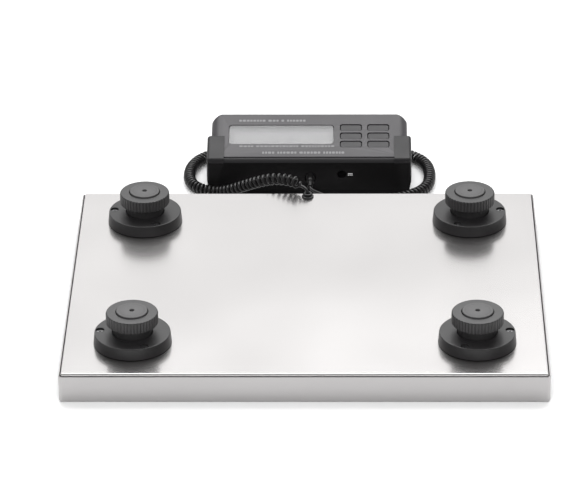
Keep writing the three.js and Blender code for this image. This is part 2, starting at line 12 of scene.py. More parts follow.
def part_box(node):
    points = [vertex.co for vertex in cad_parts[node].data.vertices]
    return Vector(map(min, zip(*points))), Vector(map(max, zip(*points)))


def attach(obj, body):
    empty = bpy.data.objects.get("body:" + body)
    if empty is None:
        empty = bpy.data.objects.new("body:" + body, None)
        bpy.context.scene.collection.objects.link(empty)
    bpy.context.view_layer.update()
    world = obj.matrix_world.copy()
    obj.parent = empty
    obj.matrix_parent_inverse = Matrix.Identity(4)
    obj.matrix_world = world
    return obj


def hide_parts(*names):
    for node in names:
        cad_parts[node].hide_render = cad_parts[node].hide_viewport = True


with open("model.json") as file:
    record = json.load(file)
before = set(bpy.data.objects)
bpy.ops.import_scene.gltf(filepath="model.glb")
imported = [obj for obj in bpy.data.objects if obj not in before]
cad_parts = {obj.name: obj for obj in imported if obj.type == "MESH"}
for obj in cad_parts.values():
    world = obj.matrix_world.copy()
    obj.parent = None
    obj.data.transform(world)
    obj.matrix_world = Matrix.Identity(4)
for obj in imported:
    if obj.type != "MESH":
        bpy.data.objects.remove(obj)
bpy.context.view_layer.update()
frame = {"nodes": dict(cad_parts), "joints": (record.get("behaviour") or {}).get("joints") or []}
NODES = frame["nodes"]
JOINTS = {joint["name"]: joint for joint in frame["joints"]}
MM = 0.001


def middle(node_name):
    """The middle of a CAD node's box."""
    low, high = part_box(node_name)
    return (low + high) / 2


def half_width(node_name):
    """Half a CAD node's width, which is the radius of a round one."""
    low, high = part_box(node_name)
    return (high.x - low.x) / 2


def upright_at(place):
    """The spot on the floor below a place."""
    return Matrix.Translation((place.x, place.y, 0))


# ---- places taken from the frame ----
PLATFORM = "platform"
DISPLAY = "display_unit"
CORNERS = ("front_left", "front_right", "rear_left", "rear_right")
FEET = {corner: middle(f"foot_pad_{corner}") for corner in CORNERS}
PAN_LOW, PAN_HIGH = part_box("weighing_pan")
PLATE_LOW, PLATE_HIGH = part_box("base_plate")
CRADLE_LOW, CRADLE_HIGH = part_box("display_cradle")
SLIDE = Vector(JOINTS["display_slide"]["axis"])
SLOPE_ANGLE = math.atan2(SLIDE.z, SLIDE.y)
SLOPE_X = middle("display_cradle").x
SLOPE_Y = CRADLE_LOW.y
LIP_HEIGHT = 42.9 * MM
# The slope: X across, Y up the slope and Z off the display's face.
TILT = Matrix.Translation((0, SLOPE_Y, LIP_HEIGHT)) @ Matrix.Rotation(SLOPE_ANGLE, 4, "X")
ACROSS = Matrix.Translation((SLOPE_X, 0, 0))
DISPLAY_PLACE = ACROSS @ TILT


# ---- driving dimensions ----
SHEET = 1.5 * MM
GAP = 0.3 * MM
HOUSING_HALF = 115.3 * MM
HOUSING_FRONT = 7.4 * MM
HOUSING_BACK = 84 * MM
HOUSING_DEPTH = 32 * MM
HOUSING_SPLIT = 8 * MM
HOUSING_CORNER = 10 * MM
HOUSING_WALL = 2.5 * MM
HOUSING_CENTER = (0, (HOUSING_FRONT + HOUSING_BACK) / 2)
HOUSING_HALVES = (HOUSING_HALF, (HOUSING_BACK - HOUSING_FRONT) / 2)
END_ROLL = 0.6 * MM
PLUG_X, PLUG_DEPTH = 1.2 * MM, 22 * MM
JACK_X, JACK_DEPTH = 38.2 * MM, 18 * MM
KEY_XS = (49 * MM, 81.2 * MM)
KEY_VS = (59.8 * MM, 44.9 * MM, 30.2 * MM)
KEY_HALF = (12.5 * MM, 5.5 * MM)
KEY_CORNER = 3 * MM
WINDOW_CENTER = (-33 * MM, 47.5 * MM)
WINDOW_HALF = (61.75 * MM, 17 * MM)
WINDOW_CORNER = 4.5 * MM


# ---- mesh helpers ----
def to_mesh(bm):
    """The mesh of a bmesh; a mesh stays as it is."""
    if isinstance(bm, bpy.types.Mesh):
        return bm
    bmesh.ops.recalc_face_normals(bm, faces=bm.faces)
    mesh = bpy.data.meshes.new("mesh")
    bm.to_mesh(mesh)
    bm.free()
    return mesh


def add_object(name, data):
    made = bpy.data.objects.new(name, data)
    bpy.context.scene.collection.objects.link(made)
    return made


def modified(mesh, kind, **settings):
    """The mesh after one modifier with these settings."""
    mesh = to_mesh(mesh)
    holder = add_object("holder", mesh)
    modifier = holder.modifiers.new("change", kind)
    for key, value in settings.items():
        setattr(modifier, key, value)
    graph = bpy.context.evaluated_depsgraph_get()
    result = bpy.data.meshes.new_from_object(
        holder.evaluated_get(graph), preserve_all_data_layers=True, depsgraph=graph
    )
    bpy.data.objects.remove(holder)
    bpy.data.meshes.remove(mesh)
    return result


def finished(mesh, *materials, smooth=35):
    """The mesh with its materials, smooth below an angle in degrees, and flat where it is flat."""
    mesh = to_mesh(mesh)
    mesh.materials.clear()
    for material in materials:
        mesh.materials.append(material)
    mesh.shade_smooth()
    mesh.set_sharp_from_angle(angle=math.radians(smooth))
    return modified(mesh, "WEIGHTED_NORMAL", keep_sharp=True, weight=100)


def show(name, mesh, body, replaced=(), place=None):
    """An object of the mesh that rides on a body and stands for the CAD nodes in replaced."""
    obj = add_object(name, mesh)
    if place is not None:
        obj.matrix_world = place
    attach(obj, body)
    if replaced:
        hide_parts(*replaced)
    return obj


def show_on_display(name, mesh, replaced=()):
    """A piece made on the slope that rides on the display unit."""
    show(name, mesh, DISPLAY, replaced, DISPLAY_PLACE)


def near(a, b, *offsets):
    """Points of a section beside a corner of it; the offsets are in millimetres."""
    return [(a + across * MM, b + up * MM, *rest) for across, up, *rest in offsets]


def around(radius, angle, center=(0, 0)):
    return (center[0] + radius * math.cos(angle), center[1] + radius * math.sin(angle))


def loft(rings, closed=False):
    """A closed mesh through rings of points; both ends are capped, or the last joins the first."""
    bm = bmesh.new()
    made = [[bm.verts.new(point) for point in ring] for ring in rings]
    pairs = list(zip(made, made[1:]))
    if closed:
        pairs.append((made[-1], made[0]))
    else:
        bm.faces.new(made[0])
        bm.faces.new(made[-1])
    for lower, upper in pairs:
        count = len(lower)
        for i in range(count):
            j = (i + 1) % count
            bm.faces.new((lower[i], lower[j], upper[j], upper[i]))
    return bm


def prism(outline, start, end, along="X"):
    """An outline of pairs drawn out along X, as (y, z) pairs, or along Y, as (x, z) pairs."""
    if along == "X":
        return loft([[(place, a, b) for a, b in outline] for place in (start, end)])
    return loft([[(a, place, b) for a, b in outline] for place in (start, end)])


def rounded_ring(half_x, half_y, radius, z, steps=8, center=(0, 0)):
    """A rectangle with rounded corners, at height z."""
    points = []
    for turn in range(4):
        sign_x = 1 if turn in (0, 3) else -1
        sign_y = 1 if turn in (0, 1) else -1
        corner = (center[0] + sign_x * (half_x - radius), center[1] + sign_y * (half_y - radius))
        for step in range(steps + 1):
            angle = math.pi / 2 * (turn + step / steps)
            points.append((*around(radius, angle, corner), z))
    return points


def rounded_loft(half_x, half_y, radius, section, steps=8, center=(0, 0)):
    """A rounded rectangle drawn through a section of (inset, z) pairs."""
    rings = []
    for inset, z in section:
        corner = max(radius - inset, 0.05 * MM)
        rings.append(rounded_ring(half_x - inset, half_y - inset, corner, z, steps, center))
    return loft(rings)


def arc(center, radius, start, end, steps):
    """Points of an arc in a section plane; the angles are in degrees."""
    points = []
    for step in range(steps + 1):
        angle = math.radians(start + (end - start) * step / steps)
        points.append(around(radius, angle, center))
    return points


def rounded_outline(points, steps=5):
    """An outline of (a, b, radius) corners, each rounded by its radius."""
    outline = []
    for index, (a, b, radius) in enumerate(points):
        corner = Vector((a, b))
        back = (Vector(points[index - 1][:2]) - corner).normalized()
        ahead = (Vector(points[(index + 1) % len(points)][:2]) - corner).normalized()
        if not radius:
            outline.append((a, b))
            continue
        half = back.angle(ahead) / 2
        center = corner + (back + ahead).normalized() * radius / math.sin(half)
        reach = radius / math.tan(half)
        first, last = corner + back * reach - center, corner + ahead * reach - center
        for step in range(steps + 1):
            outline.append(tuple(center + first.slerp(last, step / steps) * radius))
    return outline


def inset_outline(outline, inset):
    """The outline moved inwards everywhere by the same distance."""
    area = sum(p[0] * q[1] - q[0] * p[1] for p, q in zip(outline, outline[1:] + outline[:1]))
    sign = 1 if area > 0 else -1
    moved_in = []
    for index, point in enumerate(outline):
        here = Vector(point)
        before = (here - Vector(outline[index - 1])).normalized()
        after = (Vector(outline[(index + 1) % len(outline)]) - here).normalized()
        inward = Vector((-before.y - after.y, before.x + after.x)).normalized() * sign
        share = max(0.3, inward.dot(Vector((-after.y, after.x)) * sign))
        moved_in.append(tuple(here + inward * inset / share))
    return moved_in


def soft_section(low, high, fillet, steps=3):
    """The section of a slab from low to high with both edges rounded."""
    lower = arc((fillet, low + fillet), fillet, 270, 180, steps)
    return lower + arc((fillet, high - fillet), fillet, 180, 90, steps)


def lathe(profile, steps=96):
    """A solid of revolution about Z from (radius, z) pairs; it closes on itself or on the axis."""
    on_axis = profile[0][0] < 1e-6
    rings = []
    for radius, z in profile[1:-1] if on_axis else profile:
        rings.append([(*around(radius, 2 * math.pi * step / steps), z) for step in range(steps)])
    return loft(rings, closed=not on_axis)


def ridges(radius, depth, low, high, pitch):
    """Pairs of a thread's ridges on a bar, from low to high."""
    pairs = []
    for turn in range(int((high - low) / pitch)):
        z = low + pitch * turn
        pairs += [(radius - depth, z), (radius, z + 0.35 * pitch), (radius, z + 0.5 * pitch)]
    return pairs + [(radius - depth, high)]


def solid_block(width, depth, height, center):
    """A block about its centre, for cutting with."""
    bm = bmesh.new()
    bmesh.ops.create_cube(bm, size=1)
    bmesh.ops.scale(bm, vec=(width, depth, height), verts=bm.verts)
    bmesh.ops.translate(bm, vec=center, verts=bm.verts)
    return bm


def solid_bar(radius, low, high, x=0.0, y=0.0, steps=48, top=None):
    """An upright round bar, or a cone when the top's radius differs, for cutting with."""
    bm = bmesh.new()
    ends = {"radius1": radius, "radius2": radius if top is None else top}
    bmesh.ops.create_cone(bm, cap_ends=True, segments=steps, depth=high - low, **ends)
    bmesh.ops.translate(bm, vec=(x, y, (low + high) / 2), verts=bm.verts)
    return bm


def joined(parts):
    """One bmesh that holds all the parts."""
    whole = bmesh.new()
    for part in parts:
        mesh = to_mesh(part)
        whole.from_mesh(mesh)
        bpy.data.meshes.remove(mesh)
    return whole


def moved(bm, matrix):
    bmesh.ops.transform(bm, matrix=matrix, verts=bm.verts)
    return bm


def along_slope(bm, x, v, w):
    """An upright shape laid along the slope, with its foot at (x, v, w) on it."""
    return moved(bm, Matrix.Translation((x, v, w)) @ Matrix.Rotation(-math.pi / 2, 4, "X"))


def cut(mesh, cutter_bm, operation="DIFFERENCE"):
    """The mesh with the cutter taken away from it, or joined or crossed with it."""
    cutter = add_object("cutter", to_mesh(cutter_bm))
    result = modified(mesh, "BOOLEAN", operation=operation, solver="EXACT", object=cutter)
    bpy.data.objects.remove(cutter)
    return result


def cut_each(mesh, cutters):
    for cutter in cutters:
        mesh = cut(mesh, cutter)
    return mesh


def beveled(mesh, width, segments=3):
    """The mesh with its sharp edges rounded."""
    sharp = math.radians(30)
    settings = {"width": width, "segments": segments, "limit_method": "ANGLE", "angle_limit": sharp}
    return modified(mesh, "BEVEL", **settings)


def cleaned_copy(node_name):
    """A copy of a CAD node's mesh with its flat faces joined up."""
    bm = bmesh.new()
    bm.from_mesh(NODES[node_name].data)
    bmesh.ops.remove_doubles(bm, verts=bm.verts, dist=0.01 * MM)
    bmesh.ops.dissolve_limit(bm, angle_limit=math.radians(1), verts=bm.verts, edges=bm.edges)
    return to_mesh(bm)


def parted(mesh, choose):
    """Gives each face the material whose number choose finds from the face's middle."""
    for face in mesh.polygons:
        face.material_index = choose(face.center)
    return mesh


# ---- material helpers ----
def new_material(name, color, roughness, metallic=0.0, **inputs):
    material = bpy.data.materials.new(name)
    material.use_nodes = True
    shader = material.node_tree.nodes["Principled BSDF"]
    shader.inputs["Base Color"].default_value = (*color, 1)
    shader.inputs["Roughness"].default_value = roughness
    shader.inputs["Metallic"].default_value = metallic
    for key, value in inputs.items():
        shader.inputs[key.replace("_", " ")].default_value = value
    return material


def node(owner, kind, **values):
    """Adds a shader node; a value goes to the socket or setting of its name, or is linked to it."""
    made = owner.node_tree.nodes.new(kind)
    for key, value in values.items():
        socket = made.inputs.get(key.replace("_", " "))
        if socket is None:
            setattr(made, key, value)
        elif isinstance(value, bpy.types.NodeSocket):
            owner.node_tree.links.new(value, socket)
        else:
            socket.default_value = value
    return made


def link(owner, source, name):
    """Links a socket to an input of the material's surface shader."""
    target = owner.node_tree.nodes["Principled BSDF"].inputs[name]
    owner.node_tree.links.new(source, target)


def coordinates(owner, kind="Object"):
    return node(owner, "ShaderNodeTexCoord").outputs[kind]


def noise(owner, scale, detail=3.0, stretch=(1, 1, 1)):
    """Noise in object space, stretched by a scale along each axis."""
    place = node(owner, "ShaderNodeMapping", Vector=coordinates(owner), Scale=stretch)
    values = {"Vector": place.outputs["Vector"], "Scale": scale, "Detail": detail}
    return node(owner, "ShaderNodeTexNoise", **values).outputs["Fac"]


def ranged(owner, value, low, high, start=0.3, end=0.7, **settings):
    """The value carried from start..end to low..high."""
    limits = {"From_Min": start, "From_Max": end, "To_Min": low, "To_Max": high}
    return node(owner, "ShaderNodeMapRange", Value=value, **limits, **settings).outputs["Result"]


def computed(owner, operation, *values):
    """The outcome of a sum on sockets."""
    made = node(owner, "ShaderNodeMath", operation=operation)
    for value, socket in zip(values, made.inputs):
        owner.node_tree.links.new(value, socket)
    return made.outputs[0]


def colored(owner, factor, first, second):
    """Gives the surface a colour between two colours, by a factor."""
    mix = node(owner, "ShaderNodeMix", data_type="RGBA", Factor=factor)
    colors = [socket for socket in mix.inputs if socket.type == "RGBA"]
    colors[0].default_value = (*first, 1)
    colors[1].default_value = (*second, 1)
    link(owner, next(socket for socket in mix.outputs if socket.type == "RGBA"), "Base Color")


def roughened(owner, factor, low, high):
    link(owner, ranged(owner, factor, low, high), "Roughness")


def bumped(owner, height, strength, distance):
    values = {"Height": height, "Strength": strength, "Distance": distance}
    link(owner, node(owner, "ShaderNodeBump", **values).outputs["Normal"], "Normal")


def edge_wear(owner, low=0.5, high=0.56):
    """0 on flat places and 1 along outer edges."""
    return ranged(owner, node(owner, "ShaderNodeNewGeometry").outputs["Pointiness"], 0, 1, low, high)


def shaded(color, share):
    return tuple(channel * share for channel in color)


# ---- materials ----
def satin_steel(name, color, roughness, stretch):
    """Fine satin stainless sheet: faint grain along one axis and slow changes of tone and gloss."""
    material = new_material(name, color, roughness, 1.0)
    grain = noise(material, 160.0, stretch=stretch)
    cloud = noise(material, 5.0, 2.0)
    colored(material, cloud, shaded(color, 0.97), shaded(color, 1.02))
    roughened(material, cloud, roughness - 0.03, roughness + 0.03)
    bumped(material, grain, 0.08, 0.01 * MM)
    return material


def grained_plastic(name, color, roughness, scale=1800.0, grain=0.25, gloss=0.5, worn=1.9):
    """Moulded plastic: fine spark-eroded grain, cloudy gloss and edges rubbed a little brighter."""
    material = new_material(name, color, roughness, Specular_IOR_Level=gloss)
    fine = noise(material, scale)
    cloud = noise(material, 35.0)
    wear = computed(material, "MULTIPLY", edge_wear(material), ranged(material, cloud, 0.15, 1.0))
    colored(material, wear, color, shaded(color, worn))
    roughened(material, cloud, roughness - 0.04, roughness + 0.05)
    bumped(material, fine, grain, 0.08 * MM)
    return material


def plated_metal(name, color, roughness, scale=600.0):
    """Plated or machined metal with a fine mottled surface."""
    material = new_material(name, color, roughness, 1.0)
    mottle = noise(material, scale, 4.0)
    colored(material, ranged(material, mottle, 0, 1), shaded(color, 0.78), color)
    roughened(material, mottle, roughness - 0.06, roughness + 0.1)
    bumped(material, mottle, 0.15, 0.03 * MM)
    return material


def circuit_board(name):
    """Green solder resist over a pattern of tracks."""
    resist, track = (0.015, 0.11, 0.05), (0.05, 0.26, 0.1)
    material = new_material(name, resist, 0.35, Coat_Weight=0.4)
    pattern = {"Scale": 90.0, "Mortar_Size": 0.03, "Brick_Width": 0.9, "Row_Height": 0.2}
    tracks = node(material, "ShaderNodeTexBrick", Vector=coordinates(material), **pattern).outputs["Fac"]
    colored(material, tracks, resist, track)
    bumped(material, tracks, 0.3, 0.05 * MM)
    return material


def printed_ink(name, color):
    """Pad-printed ink, a little uneven in cover."""
    material = new_material(name, color, 0.55)
    cover = noise(material, 900.0)
    colored(material, ranged(material, cover, 0, 1), shaded(color, 0.7), color)
    roughened(material, cover, 0.5, 0.62)
    return material


def window_plastic(name):
    """Milky acrylic, half clear, with a faint haze."""
    material = new_material(name, (0.36, 0.36, 0.365), 0.2, Alpha=0.4)
    roughened(material, noise(material, 60.0), 0.18, 0.26)
    return material


def liquid_crystal(name, color):
    """The display's pale grey glass, with a very slight change of tone across it."""
    material = new_material(name, color, 0.4)
    cloud = noise(material, 14.0, 2.0)
    colored(material, cloud, shaded(color, 0.96), shaded(color, 1.04))
    roughened(material, cloud, 0.35, 0.45)
    return material


STEEL_PLATE = satin_steel("satin_steel_plate", (0.675, 0.66, 0.655), 0.22, (1, 30, 1))
STEEL_PAN = satin_steel("satin_steel_pan", (0.43, 0.42, 0.42), 0.33, (1, 30, 30))
ZINC = plated_metal("zinc_plate", (0.62, 0.63, 0.65), 0.42)
ALUMINIUM = plated_metal("machined_aluminium", (0.74, 0.75, 0.77), 0.34, 900.0)
DARK_SCREW = plated_metal("dark_nickel", (0.42, 0.42, 0.43), 0.3, 900.0)
BLACK_ABS = grained_plastic("black_satin_plastic", (0.012, 0.0115, 0.0125), 0.42, gloss=0.3, worn=1.1)
# Painted shade: a darker, matter copy of the cradle's black plastic. The cradle's front-facing walls get
# it so they look as dark as walls in shade.
PAINTED_SHADE_ABS = grained_plastic("black_plastic_painted_shade", (0.004, 0.0038, 0.004), 0.6, gloss=0.12)
FACE_ABS = grained_plastic("charcoal_satin_plastic", (0.033, 0.031, 0.034), 0.42, gloss=0.4)
KEY_ABS = grained_plastic("key_plastic", (0.03, 0.029, 0.031), 0.5, gloss=0.4)
FLANGE_ABS = grained_plastic("black_foot_plastic", (0.011, 0.0105, 0.011), 0.38, 1500.0, 0.3, 0.55)
WHEEL_ABS = grained_plastic(
    "black_wheel_plastic", (0.014, 0.0135, 0.014), 0.45, 1300.0, 0.4, gloss=0.7, worn=2.0
)
PAD_RUBBER = grained_plastic("pad_rubber", (0.04, 0.039, 0.04), 0.5, 1100.0, 0.5, 0.7)
CORD_SHEATH = grained_plastic("cord_sheath", (0.005, 0.0047, 0.005), 0.32, 900.0, 0.12)
BATTERY_WRAP = grained_plastic("battery_wrap", (0.045, 0.075, 0.12), 0.35, 500.0, 0.05)
BOARD = circuit_board("circuit_board")
INK = printed_ink("printed_ink", (0.2, 0.2, 0.205))
WHITE_INK = printed_ink("white_printed_ink", (0.8, 0.8, 0.8))
WINDOW = window_plastic("clear_window")
LCD_FRAME = liquid_crystal("lcd_frame", (0.15, 0.15, 0.153))
LCD_SEAL = liquid_crystal("lcd_seal", (0.12, 0.12, 0.122))
LCD_SCREEN = liquid_crystal("lcd_screen", (0.36, 0.36, 0.365))


# ---- camera ----
CAMERA_PLACE = Vector((0.0452, -3.6063, 1.9667))
CAMERA_PITCH = math.radians(27.753)
CAMERA_YAW = math.radians(-0.979)
CAMERA_ROLL = math.radians(-0.484)
CAMERA_LENS = 229.3


def make_camera():
    data = bpy.data.cameras.new("camera")
    data.lens = CAMERA_LENS
    data.sensor_width = 36
    data.clip_end = 50
    camera = add_object("camera", data)
    turn = Matrix.Rotation(-CAMERA_YAW, 4, "Z") @ Matrix.Rotation(math.pi / 2 - CAMERA_PITCH, 4, "X")
    turn = turn @ Matrix.Rotation(CAMERA_ROLL, 4, "Z")
    camera.matrix_world = Matrix.Translation(CAMERA_PLACE) @ turn
    bpy.context.scene.camera = camera


# ---- cord ----
# The routes are those of part.mjs, in metres.
PLATFORM_LEAD = [
    (0, 0.202, 0.0374), (-0.0003, 0.2025, 0.0394), (-0.0016, 0.2039, 0.0412),
    (-0.0038, 0.2061, 0.0425), (-0.0062, 0.2085, 0.043),
]
COIL_ROUTE = [
    (-0.0065, 0.2088, 0.043), (-0.016, 0.218, 0.0445), (-0.029, 0.227, 0.043),
    (-0.043, 0.234, 0.0395), (-0.057, 0.241, 0.033), (-0.072, 0.248, 0.025),
    (-0.087, 0.2545, 0.0165), (-0.101, 0.2605, 0.0102), (-0.114, 0.2656, 0.008),
    (-0.126, 0.272, 0.0077), (-0.1345, 0.2815, 0.0077), (-0.1394, 0.295, 0.0077),
    (-0.1406, 0.311, 0.0077), (-0.1388, 0.328, 0.0077), (-0.1325, 0.3445, 0.0077),
    (-0.121, 0.358, 0.0077), (-0.104, 0.3675, 0.0077), (-0.08, 0.372, 0.0077),
    (-0.04, 0.3735, 0.0077), (0, 0.374, 0.0077), (0.04, 0.3735, 0.0077),
    (0.08, 0.372, 0.0077), (0.104, 0.3675, 0.0077), (0.121, 0.3595, 0.0077),
    (0.1325, 0.348, 0.0077), (0.1395, 0.334, 0.0077), (0.1424, 0.317, 0.0077),
    (0.1424, 0.3, 0.0077), (0.14, 0.284, 0.0077), (0.1338, 0.27, 0.0077),
    (0.123, 0.2585, 0.0077), (0.107, 0.2495, 0.0077), (0.088, 0.2445, 0.0077),
    (0.066, 0.2425, 0.0077), (0.046, 0.242, 0.0077),
]
DISPLAY_LEAD = [
    (0.0454, 0.242, 0.0077), (0.038, 0.2422, 0.008), (0.03, 0.2436, 0.009),
    (0.022, 0.247, 0.0106), (0.0145, 0.2506, 0.0124), (0.0076, 0.2538, 0.014),
    (0.0034, 0.257, 0.0152), (0.002, 0.2604, 0.0162), (0.002, 0.2642, 0.0172),
]
WIRE_RADIUS = 1.75 * MM
COIL_RADIUS = 7.3 * MM
COIL_PITCH = 5 * MM
OPEN_PITCH = 9 * MM
OPEN_LENGTH = 110 * MM
OPEN_REACH = 5.2 * MM
END_LENGTH = 11 * MM
DRIFT = 0.02
TURN_POINTS = 14


def catmull_rom(points, per_span=40):
    """A smooth curve through the points, sampled closely."""
    points = [Vector(point) for point in points]
    ends = [2 * points[0] - points[1], *points, 2 * points[-1] - points[-2]]
    samples = []
    for a, b, c, d in zip(ends, ends[1:], ends[2:], ends[3:]):
        for step in range(per_span):
            t = step / per_span
            bend = (2 * a - 5 * b + 4 * c - d) * t * t + (3 * b - a - 3 * c + d) * t**3
            samples.append(0.5 * (2 * b + (c - a) * t + bend))
    samples.append(points[-1])
    return samples


def lengths_along(samples):
    total = [0.0]
    for a, b in zip(samples, samples[1:]):
        total.append(total[-1] + (b - a).length)
    return total


def carried_frames(samples):
    """Two side directions at each sample, carried along without twisting."""
    frames = []
    side = Vector((0, 0, 1))
    for index in range(len(samples)):
        ahead = samples[min(index + 1, len(samples) - 1)] - samples[max(index - 1, 0)]
        ahead.normalize()
        side = (side - ahead * side.dot(ahead)).normalized()
        frames.append((side, ahead.cross(side)))
    return frames


def coil_points():
    """The wire's own path: a helix about the coil's route, drawn open next to the platform."""
    samples = catmull_rom(COIL_ROUTE)
    along = lengths_along(samples)
    frames = carried_frames(samples)
    wander = random.Random(7)
    full_reach = COIL_RADIUS - WIRE_RADIUS - 0.1 * MM
    points = []
    place = 0.0
    angle = math.pi
    index = 0
    drift = 0.0
    while place < along[-1]:
        while index < len(along) - 2 and along[index + 1] < place:
            index += 1
        share = (place - along[index]) / (along[index + 1] - along[index])
        center = samples[index].lerp(samples[index + 1], share)
        side, other = frames[index]
        closed = min(1.0, place / OPEN_LENGTH)
        reach = OPEN_REACH + (full_reach - OPEN_REACH) * closed**0.8
        ease = min(1.0, place / END_LENGTH, (along[-1] - place) / END_LENGTH)
        reach *= ease * ease * (3 - 2 * ease)
        points.append(center + side * reach * math.cos(angle) + other * reach * math.sin(angle))
        drift = 0.97 * (drift + wander.uniform(-DRIFT, DRIFT))
        pitch = OPEN_PITCH + (COIL_PITCH - OPEN_PITCH) * min(ease, closed**0.7)
        angle += 2 * math.pi / TURN_POINTS
        place += pitch * (1 + drift) / TURN_POINTS
    return points


def make_cord():
    lead_in = catmull_rom(PLATFORM_LEAD, 6)
    lead_out = catmull_rom(DISPLAY_LEAD, 6)
    points = lead_in[:-1] + coil_points() + lead_out[1:]
    curve = bpy.data.curves.new("curly_cord_wire", "CURVE")
    curve.dimensions = "3D"
    curve.bevel_depth = WIRE_RADIUS
    curve.bevel_resolution = 3
    curve.use_fill_caps = True
    spline = curve.splines.new("POLY")
    spline.points.add(len(points) - 1)
    for target, point in zip(spline.points, points):
        target.co = (*point, 1)
    spline.use_smooth = True
    curve.materials.append(CORD_SHEATH)
    solids = ("cord_platform_lead", "curly_cord", "cord_display_lead")
    cord = show("curly_cord_wire", curve, PLATFORM, solids)
    make_plug()


def make_plug():
    """The plug: a ribbed tail that takes the lead, a grip with rings and a nose in its socket."""
    tail = [(2.1, -16), (2.3, -20.4), (3.1, -20.4)]
    for rib in range(4):
        low = -20.0 + 1.6 * rib
        tail += [(3.3 + 0.1 * rib, low), (3.3 + 0.1 * rib, low + 0.9), (2.9 + 0.1 * rib, low + 1.1)]
    grip = [(4.4, -13), (5, -12)]
    for ring in range(4):
        low = -9.5 + 2.2 * ring
        grip += [(5, low), (4.55, low + 0.3), (4.55, low + 0.9), (5, low + 1.2)]
    nose = [(5, 3.6), (4.6, 4), (3.4, 6), (3.4, 14.1), (3, 14.5)]
    profile = [(0, -16), *tail, *grip, *nose, (0, 14.5)]
    bm = lathe(near(0, 0, *profile), 40)
    mesh = finished(along_slope(bm, PLUG_X, 0, -PLUG_DEPTH), CORD_SHEATH, smooth=50)
    return show("plug", mesh, PLATFORM, ["cord_plug"], DISPLAY_PLACE)


make_camera()
make_cord()


# ---- platform ----
PAN_CORNER = 4 * MM
PAN_BEND = 2.6 * MM
PLATE_CORNER = 1.7 * MM
PLATE_BEND = 1.7 * MM
FOOT_HOLE = 25 * MM
SCREW_HOLE = 2.2 * MM
GROMMET_HOLE = 5.2 * MM


def make_pan():
    """The stainless pan, face down: a sheet bent up at its four sides."""
    size = PAN_HIGH - PAN_LOW
    bend = (PAN_BEND, PAN_BEND)
    section = arc(bend, PAN_BEND, 270, 180, 6)
    section += soft_rim(PAN_HIGH.z)
    section += arc(bend, PAN_BEND - SHEET, 180, 270, 5)
    mesh = to_mesh(rounded_loft(size.x / 2, size.y / 2, PAN_CORNER, section))
    show("pan_sheet", finished(mesh, STEEL_PAN), PLATFORM, ["weighing_pan"])


def soft_rim(top):
    """The cut edge of a sheet at its top, a little rounded."""
    edge = 0.3 * MM
    return [(0, top - edge), (edge, top), (SHEET - edge, top), (SHEET, top - edge)]


def screw_places(corner):
    return [middle(f"flange_screw_{corner}_{number}") for number in (1, 2, 3)]


def make_plate():
    """The base plate, a shallow lid over the pan, with its holes for the feet and the cord."""
    size = PLATE_HIGH - PLATE_LOW
    low, high = PLATE_LOW.z, PLATE_HIGH.z
    edge = 0.3 * MM
    bend = (PLATE_BEND, high - PLATE_BEND)
    section = arc(bend, PLATE_BEND - SHEET, 90, 180, 4)
    section += [(SHEET, low + edge), (SHEET - edge, low), (edge, low), (0, low + edge)]
    section += arc(bend, PLATE_BEND, 180, 90, 6)
    mesh = to_mesh(rounded_loft(size.x / 2, size.y / 2, PLATE_CORNER, section))
    under, over = high - 3 * SHEET, high + SHEET
    grommet = middle("cord_grommet")
    holes = [solid_bar(GROMMET_HOLE, under, over, grommet.x, grommet.y)]
    for corner, foot in FEET.items():
        holes.append(solid_bar(FOOT_HOLE, under, over, foot.x, foot.y))
        for place in screw_places(corner):
            holes.append(solid_bar(SCREW_HOLE, under, over, place.x, place.y, 16))
    mesh = finished(cut(mesh, joined(holes)), STEEL_PLATE)
    show("plate_sheet", mesh, PLATFORM, ["base_plate"])


def make_grommet():
    """The strain relief: a stepped rubber dome with a rolled mouth, held by the plate's edge."""
    low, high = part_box("cord_grommet")
    radius = half_width("cord_grommet")
    mouth = 2.4 * MM
    over = PLATE_HIGH.z + GAP
    under = PLATE_HIGH.z - SHEET - GAP
    neck = GROMMET_HOLE - GAP
    roll = 1.6 * MM
    profile = [(mouth, low.z), *near(radius, low.z, (-0.4, 0), (0, 0.4))]
    profile += [(radius, under), (neck, under), (neck, over), (radius, over)]
    profile += near(radius, over, (0, 0.8), (-0.6, 1.3), (-1.6, 1.5), (-1.9, 2.2))
    profile += arc((mouth + roll, high.z - roll), roll, 10, 180, 8)
    mesh = to_mesh(lathe(profile, 64))
    place = upright_at(middle("cord_grommet"))
    show("grommet", finished(mesh, CORD_SHEATH), PLATFORM, ["cord_grommet"], place)


make_pan()
make_plate()
make_grommet()


# ---- feet ----
FLANGE_BORE = 21.5 * MM
FLANGE_WALL = 3 * MM
FLANGE_TOP_RADIUS = 40.9 * MM
BOSS_RADIUS = 4 * MM
BOSS_BORE = 2.1 * MM
SCREW_HEAD = 4.4 * MM
SCREW_SHANK = 1.7 * MM
SCREW_HEAD_HEIGHT = 2.4 * MM
SLEEVE_RADIUS = 21 * MM
WHEEL_BOTTOM = 57 * MM
STEM_HOLE = 6.3 * MM
PAD_CLEARANCE = 0.5 * MM
KNURLS = 46
KNURL_STEPS = 10
KNURL_DEPTH = 0.9 * MM


